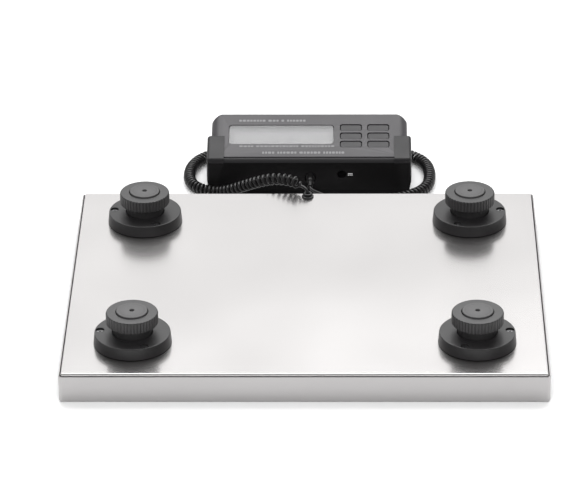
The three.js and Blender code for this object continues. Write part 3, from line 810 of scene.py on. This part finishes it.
def make_flange(corner, foot):
    """The moulded cup round a foot, open below, with three countersunk bosses."""
    node_name = f"foot_flange_{corner}"
    base, top = (end.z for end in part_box(node_name))
    base_radius = half_width(node_name)
    fillet = 1.1 * MM
    ledge = top - FLANGE_WALL
    lining = FLANGE_BORE + FLANGE_WALL
    profile = [(FLANGE_BORE, base), (lining, base), (lining, ledge)]
    profile += [(FLANGE_TOP_RADIUS - FLANGE_WALL, ledge), (base_radius - FLANGE_WALL, base)]
    profile += near(base_radius, base, (-0.3, 0), (0, 0.3))
    profile += arc((FLANGE_TOP_RADIUS - fillet, top - fillet), fillet, 4, 90, 6)
    profile += near(FLANGE_BORE, top, (0.6, 0), (0, -0.6))
    bosses, sinks = [], []
    head_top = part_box(f"flange_screw_{corner}_1")[1].z
    seat = head_top - SCREW_HEAD_HEIGHT
    for place in screw_places(corner):
        x, y = place.x - foot.x, place.y - foot.y
        bosses.append(solid_bar(BOSS_RADIUS, base, top - MM, x, y, 32))
        sinks.append(solid_bar(BOSS_BORE, base - MM, top, x, y, 24))
        hole = SCREW_HEAD + GAP
        sinks.append(solid_bar(BOSS_BORE, seat, head_top, x, y, 40, top=hole))
        sinks.append(solid_bar(hole, head_top - 0.01 * MM, top + MM, x, y, 40))
    mesh = cut_each(cut(lathe(profile), joined(bosses), "UNION"), sinks)
    mesh = finished(mesh, FLANGE_ABS)
    show(f"flange_{corner}", mesh, PLATFORM, [node_name], upright_at(foot))


def cross_recess(length, width, depth):
    """The two arms of a driver's cross, narrower at its bottom."""
    arms = []
    for turn in (0, math.pi / 2):
        arm = solid_block(length, width, 2 * depth, (0, 0, 0))
        for vertex in arm.verts:
            if vertex.co.z < 0:
                vertex.co.x *= 0.45
                vertex.co.y *= 0.7
        arms.append(moved(arm, Matrix.Rotation(turn, 4, "Z")))
    return arms


def screw_mesh(length, head, shank, head_height):
    """A countersunk screw with its head's top at zero: a low dome, a cross and a thread."""
    thread = ridges(shank, 0.35 * MM, 2 * MM - length, -head_height - MM, 1.1 * MM)
    profile = [(0, -length), (0.3 * MM, -length), *thread, (shank, -head_height)]
    profile += [*near(head, 0, (0, -0.35), (-0.15, -0.1)), (0.6 * head, 0), (0, 0)]
    mesh = cut_each(lathe(profile, 32), cross_recess(1.15 * head, 0.26 * head, 1.3 * MM))
    return finished(mesh, DARK_SCREW, smooth=40)


def make_flange_screws():
    low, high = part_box("flange_screw_front_left_1")
    mesh = screw_mesh(high.z - low.z, SCREW_HEAD, SCREW_SHANK, SCREW_HEAD_HEIGHT)
    turns = random.Random(3)
    for corner in CORNERS:
        for number, place in enumerate(screw_places(corner), 1):
            angle = turns.uniform(0, math.pi / 2)
            spot = Matrix.Translation((place.x, place.y, high.z)) @ Matrix.Rotation(angle, 4, "Z")
            name = f"screw_{corner}_{number}"
            show(name, mesh, PLATFORM, [f"flange_{name}"], spot)


def knurled_ring(radius, z, depth):
    """A ring with a groove between every two knurls."""
    ring = []
    count = KNURLS * KNURL_STEPS
    for step in range(count):
        angle = 2 * math.pi * step / count
        groove = (0.5 - 0.5 * math.cos(KNURLS * angle)) ** 2
        ring.append((*around(radius - depth * groove, angle), z))
    return ring


def wheel_mesh():
    """A knurled wheel on its sleeve, with a recess for the pad and a hole for the stem."""
    low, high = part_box("foot_wheel_front_left")
    radius = half_width("foot_wheel_front_left")
    recess_radius = half_width("foot_pad_front_left") + PAD_CLEARANCE
    top, bottom, recess = high.z, WHEEL_BOTTOM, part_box("foot_pad_front_left")[0].z - GAP
    # The third number is the share of the knurls' depth.
    section = [(STEM_HOLE, low.z, 0), *near(SLEEVE_RADIUS, low.z, (-0.6, 0, 0), (0, 0.6, 0))]
    section += near(SLEEVE_RADIUS, bottom, (0, -1.2, 0), (0.4, -0.3, 0), (1.4, 0, 0))
    section += near(radius, bottom, (-1.5, 0, 0), (-0.8, 0.3, 0.3), (0, 1.3, 1))
    section += near(radius, top, (0, -1.5, 1), (-0.25, -0.9, 0.8), (-0.8, -0.3, 0.3), (-1.6, 0, 0))
    section += near(recess_radius, top, (0.5, 0, 0), (0, -0.5, 0))
    section += [(recess_radius, recess, 0), (STEM_HOLE, recess, 0)]
    rings = [knurled_ring(reach, z, share * KNURL_DEPTH) for reach, z, share in section]
    return finished(loft(rings, closed=True), WHEEL_ABS, smooth=45)


def pad_mesh():
    """The non-slip pad: a rounded disc with a faint ring and a moulded centre hole."""
    low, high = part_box("foot_pad_front_left")
    radius, top = half_width("foot_pad_front_left"), high.z
    fillet, hole = 0.9 * MM, 2.5 * MM
    profile = [(hole, low.z), *near(radius, low.z, (-0.3, 0), (0, 0.3))]
    profile += arc((radius - fillet, top - fillet), fillet, 0, 90, 5)
    profile += near(0.8 * radius, top, (0, 0), (-0.3, -0.15), (-0.6, 0))
    profile += near(hole, top, (0.5, 0), (0, -0.5))
    return finished(lathe(profile), PAD_RUBBER, smooth=30)


def stem_mesh():
    """A threaded stem with chamfered ends."""
    low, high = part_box("foot_stem_front_left")
    radius = half_width("foot_stem_front_left")
    start, end = 1.5 * MM, 1.2 * MM
    thread = ridges(radius, 0.6 * MM, low.z + start, high.z - end, 1.5 * MM)
    profile = [(0, low.z), (radius - start, low.z), *thread, (radius - end, high.z), (0, high.z)]
    return finished(lathe(profile, 40), ZINC, smooth=40)


def make_feet():
    wheel, pad, stem = wheel_mesh(), pad_mesh(), stem_mesh()
    for corner, foot in FEET.items():
        make_flange(corner, foot)
        turned, gripped = f"foot_wheel_{corner}", f"foot_pad_{corner}"
        place = upright_at(foot)
        show(f"wheel_{corner}", wheel, turned, [turned], place)
        show(f"stem_{corner}", stem, turned, [f"foot_stem_{corner}"], place)
        show(f"pad_{corner}", pad, gripped, [gripped], place)
    make_flange_screws()


make_feet()


# ---- cradle ----
CRADLE_WALL = 3 * MM
CRADLE_END_WALL = 8 * MM
CRADLE_SLANT = 3.6 * MM
CRADLE_SLANT_TOP = 20.8 * MM
CRADLE_SOFT = 3.6 * MM
CRADLE_HALF = half_width("display_cradle")
CRADLE_FLOOR = -HOUSING_DEPTH - GAP
LIP_LENGTH = 5.5 * MM
LIP_FILLET = 8 * MM
CLIP_WIDTH = 20 * MM
CLIP_LENGTH = 44.5 * MM
CLIP_RISE = 2.2 * MM
PLUG_HOLE, JACK_HOLE = 6.6 * MM, 5.5 * MM
STEP_LOW, STEP_HIGH, STEP_DEPTH = 3 * MM, 37.9 * MM, 0.6 * MM


def on_slope(v, w):
    """The (y, z) of a place v up the slope and w off the face."""
    place = TILT @ Vector((0, v, w))
    return (place.y, place.z)


def cradle_outer():
    """The cradle's outside: its side outline drawn across, rounded at its ends, then slanted in."""
    half, back, floor, soft = CRADLE_HALF, CRADLE_HIGH.y, CRADLE_FLOOR, CRADLE_SOFT
    foot = on_slope(0, floor)
    corners = [(SLOPE_Y, 0, 0), (back, 0, 0)]
    corners.append((back, foot[1] + (back - foot[0]) * math.tan(SLOPE_ANGLE), 0))
    corners.append((*on_slope(CLIP_LENGTH + 16 * MM, floor + 3 * MM), 0))
    corners.append((*on_slope(CLIP_LENGTH, floor + 9 * MM), 8 * MM))
    corners.append((*on_slope(CLIP_LENGTH, CLIP_RISE), soft))
    corners.append((*on_slope(CLIP_RISE * math.tan(SLOPE_ANGLE), CLIP_RISE), soft))
    outline = rounded_outline(corners)
    ends = arc((soft, soft - half), soft, 270, 180, 5) + arc((soft, half - soft), soft, 180, 90, 5)
    rings = [[(x, y, z) for y, z in inset_outline(outline, inset)] for inset, x in ends]
    low, wide, tall = half - CRADLE_SLANT, half + MM, 2 * LIP_HEIGHT
    front = [(-low, -MM), (low, -MM), (wide, CRADLE_SLANT_TOP)]
    front += [(wide, tall), (-wide, tall), (-wide, CRADLE_SLANT_TOP)]
    return cut(loft(rings), prism(front, SLOPE_Y - MM, 2 * back, along="Y"), "INTERSECT")


def lip_cutter(across):
    """Rounds the top of the front wall between the clips."""
    along = LIP_FILLET * (1 - math.sin(SLOPE_ANGLE)) / math.cos(SLOPE_ANGLE)
    center = on_slope(along, -LIP_FILLET)
    outline = arc(center, LIP_FILLET, 180, 90 + math.degrees(SLOPE_ANGLE), 6)
    above, before = outline[-1][1] + 2.4 * MM, SLOPE_Y - 2 * MM
    outline += [(outline[-1][0] - 0.6 * MM, above), (before, above), (before, center[1])]
    return prism(outline, -across / 2, across / 2)


def cradle_hollow():
    """The room inside the cradle, in front of the display and under it."""
    inside = SLOPE_Y + CRADLE_WALL
    behind = LIP_LENGTH + 0.1 * MM
    floor = CRADLE_FLOOR - CRADLE_WALL
    outline = [(inside, CRADLE_WALL), (CRADLE_HIGH.y + CRADLE_WALL, CRADLE_WALL)]
    outline += [on_slope(CRADLE_HIGH.y - SLOPE_Y, floor), on_slope(behind, floor)]
    outline += [on_slope(behind, -CRADLE_WALL), (inside, LIP_HEIGHT - CRADLE_WALL)]
    return prism(outline, -CRADLE_HALF + CRADLE_END_WALL, CRADLE_HALF - CRADLE_END_WALL)


def make_cradle():
    """The cradle: a tray with a lip in front and a clip that holds the display at each side."""
    across = 2 * (CRADLE_HALF - CLIP_WIDTH)
    long = 2 * HOUSING_BACK
    sides = [(0, CRADLE_FLOOR), (0, GAP)]
    middle_of_pocket = (0, LIP_LENGTH + long / 2)
    half_pocket = HOUSING_HALF + 0.5 * MM
    pocket = rounded_loft(half_pocket, long / 2, HOUSING_CORNER, sides, center=middle_of_pocket)
    open_face = rounded_loft(across / 2, long, 1.2 * MM, [(0, 0), (0, 40 * MM)])
    cutters = [moved(pocket, TILT), moved(open_face, TILT), lip_cutter(across - 0.02 * MM)]
    cutters.append(cradle_hollow())
    for x, depth, radius in ((PLUG_X, PLUG_DEPTH, PLUG_HOLE), (JACK_X, JACK_DEPTH, JACK_HOLE)):
        window = solid_bar(radius, 0, HOUSING_DEPTH + LIP_LENGTH + MM)
        cutters.append(moved(along_slope(window, x, -HOUSING_DEPTH, -depth), TILT))
    step_middle = (0, SLOPE_Y, (STEP_HIGH + STEP_LOW) / 2)
    cutters.append(solid_block(across, 2 * STEP_DEPTH, STEP_HIGH - STEP_LOW, step_middle))
    for side in (-1, 1):
        groove = solid_block(CLIP_WIDTH + 2 * MM, 0.8 * MM, 0.6 * MM, (0, SLOPE_Y, LIP_HEIGHT - 3.4 * MM))
        beside = Matrix.Translation((side * (CRADLE_HALF - CLIP_WIDTH / 2), 0, 0))
        cutters.append(moved(groove, beside))
    # The front-facing walls below the clips get the darker copy of the black plastic, which is painted
    # shade.
    mesh = finished(cut_each(cradle_outer(), cutters), BLACK_ABS, PAINTED_SHADE_ABS)
    mesh = parted(mesh, front_in_painted_shade)
    show("cradle", mesh, PLATFORM, ["display_cradle"], ACROSS)


# Picks the faces of the front wall below the lip's top. These faces get the painted shade.
def front_in_painted_shade(center):
    return 1 if center.y < SLOPE_Y + MM and center.z < LIP_HEIGHT - 3 * MM else 0


make_cradle()


# ---- covers ----
HOLE_FILLET, HOLE_DEPTH = 0.45 * MM, 10 * MM
KEY_GAP = 0.4 * MM
# How much the face's corner radius shrinks with the inset at its ends and at its sides.
END_SHARE, SIDE_SHARE = 0.5, 0.7
# The face's long sides are sloped off: (inset, w) pairs from the side wall to the flat face.
SIDE_SLOPE = ((0, -6.6), (0.74, -5.38), (1.61, -4.25), (2.61, -3.23), (3.71, -2.33), (4.91, -1.56))
SIDE_SLOPE += ((6.19, -0.93), (7.53, -0.45), (8.91, -0.12), (10.2, 0))
SIDE_SECTION = near(0, 0, *SIDE_SLOPE)
DOOR_HALF = (33 * MM, 20 * MM)
DOOR_V = 55 * MM
DOOR_THICK = 2.2 * MM
DOOR_CORNER = 2 * MM
COVER_HOLE = 5.2 * MM
VENT_X, VENT_V, VENT_PITCH = 66 * MM, 42 * MM, 5 * MM
VENT_HALF, VENT_CORNER = (11 * MM, 0.9 * MM), 0.85 * MM
PIT_X, PIT_VS = 103 * MM, (20 * MM, 72 * MM)
PIT_RADIUS, PIT_DEPTH = 3.6 * MM, 1.2 * MM


def flared_cutter(half_x, half_y, corner, center):
    """A cutter for a hole in the face whose edge is rounded over."""
    section = [(0, -HOLE_DEPTH)]
    for inset, w in arc((HOLE_FILLET, -HOLE_FILLET), HOLE_FILLET, 180, 90, 3):
        section.append((-inset, w))
    section.append((-HOLE_FILLET, 2 * MM))
    rings = []
    for inset, w in section:
        rings.append(rounded_ring(half_x - inset, half_y - inset, corner - inset, w, 6, center))
    return loft(rings)


def make_front_cover():
    """The face: sloped off at its sides, softly rounded at its ends, open for window and keys."""
    half_x, half_y = HOUSING_HALVES
    rings = [rounded_ring(half_x, half_y, HOUSING_CORNER, -HOUSING_SPLIT, 10, HOUSING_CENTER)]
    for side, w in SIDE_SECTION:
        near = max(0, w + END_ROLL)
        end = END_ROLL - math.sqrt(max(0, END_ROLL**2 - near**2))
        corner = HOUSING_CORNER - END_SHARE * end - SIDE_SHARE * side
        rings.append(rounded_ring(half_x - side, half_y - end, corner, w, 10, HOUSING_CENTER))
    mesh = to_mesh(loft(rings))
    wall = HOUSING_WALL
    section = [(wall, -2 * HOUSING_SPLIT), (wall, -HOUSING_SPLIT / 2 - MM), (wall + MM, -wall - MM)]
    section.append((2 * wall, -wall))
    cutters = [rounded_loft(half_x, half_y, HOUSING_CORNER, section, center=HOUSING_CENTER)]
    cutters.append(flared_cutter(*WINDOW_HALF, WINDOW_CORNER, WINDOW_CENTER))
    half = (KEY_HALF[0] + KEY_GAP, KEY_HALF[1] + KEY_GAP)
    for x in KEY_XS:
        for v in KEY_VS:
            cutters.append(flared_cutter(*half, KEY_CORNER + KEY_GAP, (x, v)))
    mesh = finished(cut_each(mesh, cutters), FACE_ABS, smooth=15)
    show_on_display("face", mesh, ["front_cover"])


def make_rear_cover():
    """The back of the housing, with the door's opening, two socket holes, vents and screw pits."""
    half_x, half_y = HOUSING_HALVES
    top = -HOUSING_SPLIT - GAP
    floor = -HOUSING_DEPTH
    wall = HOUSING_WALL
    outer = arc((3 * MM, floor + 3 * MM), 3 * MM, 270, 180, 5) + near(0, top, (0, -0.25), (0.25, 0))
    mesh = to_mesh(rounded_loft(half_x, half_y, HOUSING_CORNER, outer, 10, HOUSING_CENTER))
    section = [*near(wall, floor + wall, (1.5, 0), (0, 1.5)), (wall, 0)]
    cutters = [rounded_loft(half_x, half_y, HOUSING_CORNER, section, center=HOUSING_CENTER)]
    opening = [(0, floor - MM), (0, floor + 2 * wall)]
    door = (DOOR_HALF[0] + GAP, DOOR_HALF[1] + GAP)
    cutters.append(rounded_loft(*door, DOOR_CORNER + GAP, opening, center=(0, DOOR_V)))
    for x, depth in ((PLUG_X, PLUG_DEPTH), (JACK_X, JACK_DEPTH)):
        hole = solid_bar(COVER_HOLE, -2 * wall, 2 * wall)
        cutters.append(along_slope(hole, x, HOUSING_FRONT, -depth))
    vents = []
    for side in (-1, 1):
        for row in range(5):
            center = (side * VENT_X, VENT_V + VENT_PITCH * row)
            vents.append(rounded_loft(*VENT_HALF, VENT_CORNER, opening, 4, center))
    pits = []
    for x in (-PIT_X, PIT_X):
        for v in PIT_VS:
            pits.append(solid_bar(PIT_RADIUS, floor - MM, floor + PIT_DEPTH, x, v))
    mesh = cut_each(mesh, [*cutters, joined(vents), joined(pits)])
    show_on_display("back", finished(mesh, BLACK_ABS), ["rear_cover"])


make_front_cover()
make_rear_cover()


# ---- keys, window and screen ----
KEY_TALL = 6 * MM
KEY_SINK = 0.8 * MM
KEY_SHRINK = 0.25 * MM
SCREEN_TOP = -4.1 * MM
GLASS_HALF = (57 * MM, 11.65 * MM)
GLASS_CENTER = (-32 * MM, 44.35 * MM)
SOCKET_MARK = (48.2 * MM, 25 * MM)


def make_keys():
    """Six key caps, rounded over at their edges and dished a little."""
    top = -KEY_SINK
    fillet = 0.7 * MM
    section = [(0, top - KEY_TALL), (0, top - fillet)]
    section += arc((fillet, top - fillet), fillet, 165, 90, 4)
    section += near(0, top, (1.4, -0.04), (2.4, -0.2), (4, -0.32))
    half = (KEY_HALF[0] - KEY_SHRINK, KEY_HALF[1] - KEY_SHRINK)
    mesh = finished(rounded_loft(*half, KEY_CORNER, section, 6), KEY_ABS)
    number = 0
    for v in KEY_VS:
        for x in KEY_XS:
            number += 1
            key = f"key_{number}"
            place = DISPLAY_PLACE @ Matrix.Translation((x, v, 0))
            show(f"cap_{number}", mesh, key, [key], place)


def make_window():
    """The clear window: a raised field in the cover's opening on a wider ledge behind it."""
    low, field, ledge = -3.8 * MM, -0.5 * MM, -2.8 * MM
    section = [(-3 * MM, low), (-3 * MM, ledge), (0.4 * MM, ledge), (0.4 * MM, field - 0.4 * MM)]
    section += arc((0.8 * MM, field - 0.4 * MM), 0.4 * MM, 180, 90, 3)
    mesh = to_mesh(rounded_loft(*WINDOW_HALF, WINDOW_CORNER, section, 6, WINDOW_CENTER))
    show_on_display("window", finished(mesh, WINDOW), ["display_window"])


def panel(half, low, high, fillet, center, material, steps=3):
    """A thin slab with soft edges, for a layer of the screen."""
    section = soft_section(low, high, fillet, steps)
    return finished(rounded_loft(*half, 0.8 * MM, section, 4, center), material)


def make_screen():
    """The liquid-crystal panel: a pale frame round the glass where the figures would show."""
    half = (WINDOW_HALF[0] + MM, WINDOW_HALF[1] + MM)
    top = SCREEN_TOP
    mesh = panel(half, top - 2.4 * MM, top, 0.4 * MM, WINDOW_CENTER, LCD_FRAME)
    show_on_display("lcd_frame", mesh, ["lcd_panel"])
    layers = (("seal", MM, 0.06 * MM, LCD_SEAL), ("glass", 0, 0.12 * MM, LCD_SCREEN))
    for name, grow, rise, material in layers:
        half = (GLASS_HALF[0] + grow, GLASS_HALF[1] + grow)
        mesh = panel(half, top - 0.5 * MM, top + rise, 0.05 * MM, GLASS_CENTER, material, 2)
        show_on_display(f"lcd_{name}", mesh)


def printed_bar(width, height, x, y):
    """A bar of ink that stands a hair above the surface it is printed on."""
    radius = 0.3 * min(width, height)
    section = [(0, -0.05 * MM), (0, 0.03 * MM)]
    return rounded_loft(width / 2, height / 2, radius, section, 3, (x, y))


# The face's rows of print, in millimetres: start and end across, place up the slope and height.
PRINT_ROWS = ((-83, -2, 72.2, 3.6), (-82, 31, 26.4, 2.8), (-55, 44, 14.9, 3.8))
BAR_WIDTHS = (2.2, 4.2)
BAR_GAP, WORD_GAP = 0.9, 3.4
WORD_END = 0.16


def make_marks():
    """Rows of short blank bars where the face carries print, and the mark for direct current."""
    sizes = random.Random(11)
    bars = []
    for start, end, v, height in PRINT_ROWS:
        x = start
        while x < end - 3:
            width = min(sizes.uniform(*BAR_WIDTHS), end - x)
            bars.append(printed_bar(width * MM, height * MM, (x + width / 2) * MM, v * MM))
            x += width + (WORD_GAP if sizes.random() < WORD_END else BAR_GAP)
    show_on_display("face_print", finished(joined(bars), INK))
    dashes = [printed_bar(5.4 * MM, 0.9 * MM, 0, 0.9 * MM)]
    dashes += [printed_bar(1.4 * MM, 0.9 * MM, x * MM, -0.9 * MM) for x in (-2, 0, 2)]
    x, z = SOCKET_MARK
    spot = ACROSS @ Matrix.Translation((x, SLOPE_Y + STEP_DEPTH, z)) @ Matrix.Rotation(math.pi / 2, 4, "X")
    mesh = finished(joined(dashes), WHITE_INK)
    show("socket_print", mesh, PLATFORM, place=spot)


make_keys()
make_window()
make_screen()
make_marks()


# ---- the parts behind the covers ----
def make_battery_door():
    """The door: grip grooves at one end, and the tongue that holds it under the cover."""
    low = -HOUSING_DEPTH
    edge = DOOR_V - DOOR_HALF[1]
    section = soft_section(low, low + DOOR_THICK, 0.5 * MM)
    mesh = to_mesh(rounded_loft(*DOOR_HALF, DOOR_CORNER, section, 6, (0, DOOR_V)))
    tongue = solid_block(20 * MM, 8 * MM, 1.6 * MM, (0, edge - 3.5 * MM, low + 3.55 * MM))
    neck = solid_block(20 * MM, 4 * MM, 1.9 * MM, (0, edge + 2.2 * MM, low + 1.95 * MM))
    mesh = cut(cut(mesh, tongue, "UNION"), neck, "UNION")
    grooves = []
    for row in range(5):
        center = (0, DOOR_V + (15 - 2.2 * row) * MM)
        deep = [(0, low - MM), (0, low + 0.5 * MM)]
        grooves.append(rounded_loft(10 * MM, 0.5 * MM, 0.45 * MM, deep, 4, center))
    mesh = finished(cut(mesh, joined(grooves)), BLACK_ABS)
    show_on_display("door", mesh, ["battery_door"])


CELL_RADIUS, CELL_LENGTH, CELL_PITCH = 7 * MM, 44 * MM, 14.4 * MM
CELL_V, CELL_DEPTH = 58.5 * MM, 22 * MM
CELL_ROOM = 0.1 * MM


def make_batteries():
    """Four round cells in a tray, each with its end button and crimped rims."""
    radius, length, pitch = CELL_RADIUS, CELL_LENGTH, CELL_PITCH
    v, low = CELL_V, -CELL_DEPTH
    crimp_and_button = ((0, -2.2), (-0.6, -1.6), (-3.8, -1.5), (-4.2, -0.2), (-4.5, 0))
    profile = [(0, 0), *near(radius, 0, (-0.8, 0), (0, 0.6))]
    profile += [*near(radius, length, *crimp_and_button), (0, length)]
    cells, wells = [], []
    for place in (-1.5, -0.5, 0.5, 1.5):
        cells.append(along_slope(lathe(profile, 40), place * pitch, v - length / 2, low))
        well = solid_bar(radius + CELL_ROOM, -MM, length + MM, steps=40)
        wells.append(along_slope(well, place * pitch, v - length / 2, low))
    mesh = finished(joined(cells), BATTERY_WRAP)
    show_on_display("cells", mesh, ["battery_pack"])
    tray = solid_block(4 * pitch, 36 * MM, 5.5 * MM, (0, v - 2.5 * MM, low - 3.75 * MM))
    mesh = cut_each(beveled(tray, 0.6 * MM), wells)
    show_on_display("cell_tray", finished(mesh, BLACK_ABS))


def soften(node_name, width, materials, body, choose=None):
    """A CAD node's shape with rounded edges, and with its own material for each of its parts."""
    matrix = NODES[node_name].matrix_world.copy()
    mesh = finished(beveled(cleaned_copy(node_name), width, 2), *materials)
    if choose:
        parted(mesh, lambda center: choose(matrix @ center))
    show(f"{node_name}_finished", mesh, body, [node_name], matrix)


# Where the chips start: above this on the junction board, and below this under the main board.
JUNCTION_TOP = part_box("junction_board")[1].z - 7.3 * MM
MAIN_UNDER = -11.7 * MM
PIN_RADIUS, PIN_LENGTH = 0.9 * MM, 7.5 * MM


def make_inner_parts():
    """The parts behind the covers, and the power socket's pin."""
    for name in ("frame_rail_left", "frame_rail_right", "cross_rail"):
        soften(name, 0.5 * MM, [ZINC], PLATFORM)
    for corner in CORNERS:
        soften(f"load_cell_{corner}", 0.5 * MM, [ALUMINIUM], PLATFORM)
    flat = DISPLAY_PLACE.inverted()
    parts = [BOARD, BLACK_ABS]

    def on_junction_board(center):
        return 1 if center.z > JUNCTION_TOP else 0

    def under_main_board(center):
        return 1 if (flat @ center).z < MAIN_UNDER else 0

    soften("junction_board", 0.2 * MM, parts, PLATFORM, on_junction_board)
    soften("main_board", 0.2 * MM, parts, DISPLAY, under_main_board)
    soften("key_mat", 0.4 * MM, [PAD_RUBBER], DISPLAY)
    for name in ("data_socket", "power_socket"):
        soften(name, 0.4 * MM, [BLACK_ABS], DISPLAY)
    start = HOUSING_FRONT + HOUSING_WALL + 1.5 * MM
    pin = along_slope(solid_bar(PIN_RADIUS, 0, PIN_LENGTH, steps=24), JACK_X, start, -JACK_DEPTH)
    mesh = finished(beveled(pin, 0.3 * MM), ZINC)
    show_on_display("power_pin", mesh)


make_battery_door()
make_batteries()
make_inner_parts()


# ---- floor and lights ----
FRONT_SKY, BACK_SKY, SIDE_SKY = 0.35, 1.05, 0.4
SOFTBOX_POWER, FILL_POWER = 50, 110


def make_floor():
    bm = bmesh.new()
    bmesh.ops.create_grid(bm, x_segments=1, y_segments=1, size=6)
    mesh = to_mesh(bm)
    mesh.materials.append(new_material("pale_floor", (0.9, 0.9, 0.9), 0.85))
    add_object("floor", mesh)


def area_light(name, place, target, size, power):
    data = bpy.data.lights.new(name, "AREA")
    data.shape = "RECTANGLE"
    data.size, data.size_y = size
    data.energy = power
    light = add_object(name, data)
    light.location = place
    aim = Vector(target) - Vector(place)
    light.rotation_euler = aim.to_track_quat("-Z", "Y").to_euler()
    return light


def make_sky():
    """A light tent: bright above and behind, dim in front, and dimmer at its sides."""
    sky = bpy.data.worlds.new("studio")
    sky.use_nodes = True
    split = node(sky, "ShaderNodeSeparateXYZ", Vector=coordinates(sky, "Generated")).outputs
    smooth = {"interpolation_type": "SMOOTHSTEP"}
    rise = ranged(sky, split["Y"], FRONT_SKY, BACK_SKY, -0.5, 0.4, **smooth)
    fall = ranged(sky, computed(sky, "ABSOLUTE", split["X"]), 1, SIDE_SKY, 0.35, 0.85)
    backdrop = sky.node_tree.nodes["Background"].inputs
    backdrop["Color"].default_value = (1, 1, 1, 1)
    sky.node_tree.links.new(computed(sky, "MULTIPLY", rise, fall), backdrop["Strength"])
    bpy.context.scene.world = sky


def make_lights():
    """A softbox above and behind, and a fill in front that the steel doesn't reflect."""
    area_light("softbox", (0, 1.3, 2.2), (0, 0.1, 0), (2.6, 1.6), SOFTBOX_POWER)
    fill = area_light("front_fill", (0, -2.6, 2.4), (0, -0.1, 0), (3.2, 2.0), FILL_POWER)
    fill.visible_glossy = False
    bpy.context.scene.view_settings.view_transform = "Standard"


make_floor()
make_sky()
make_lights()
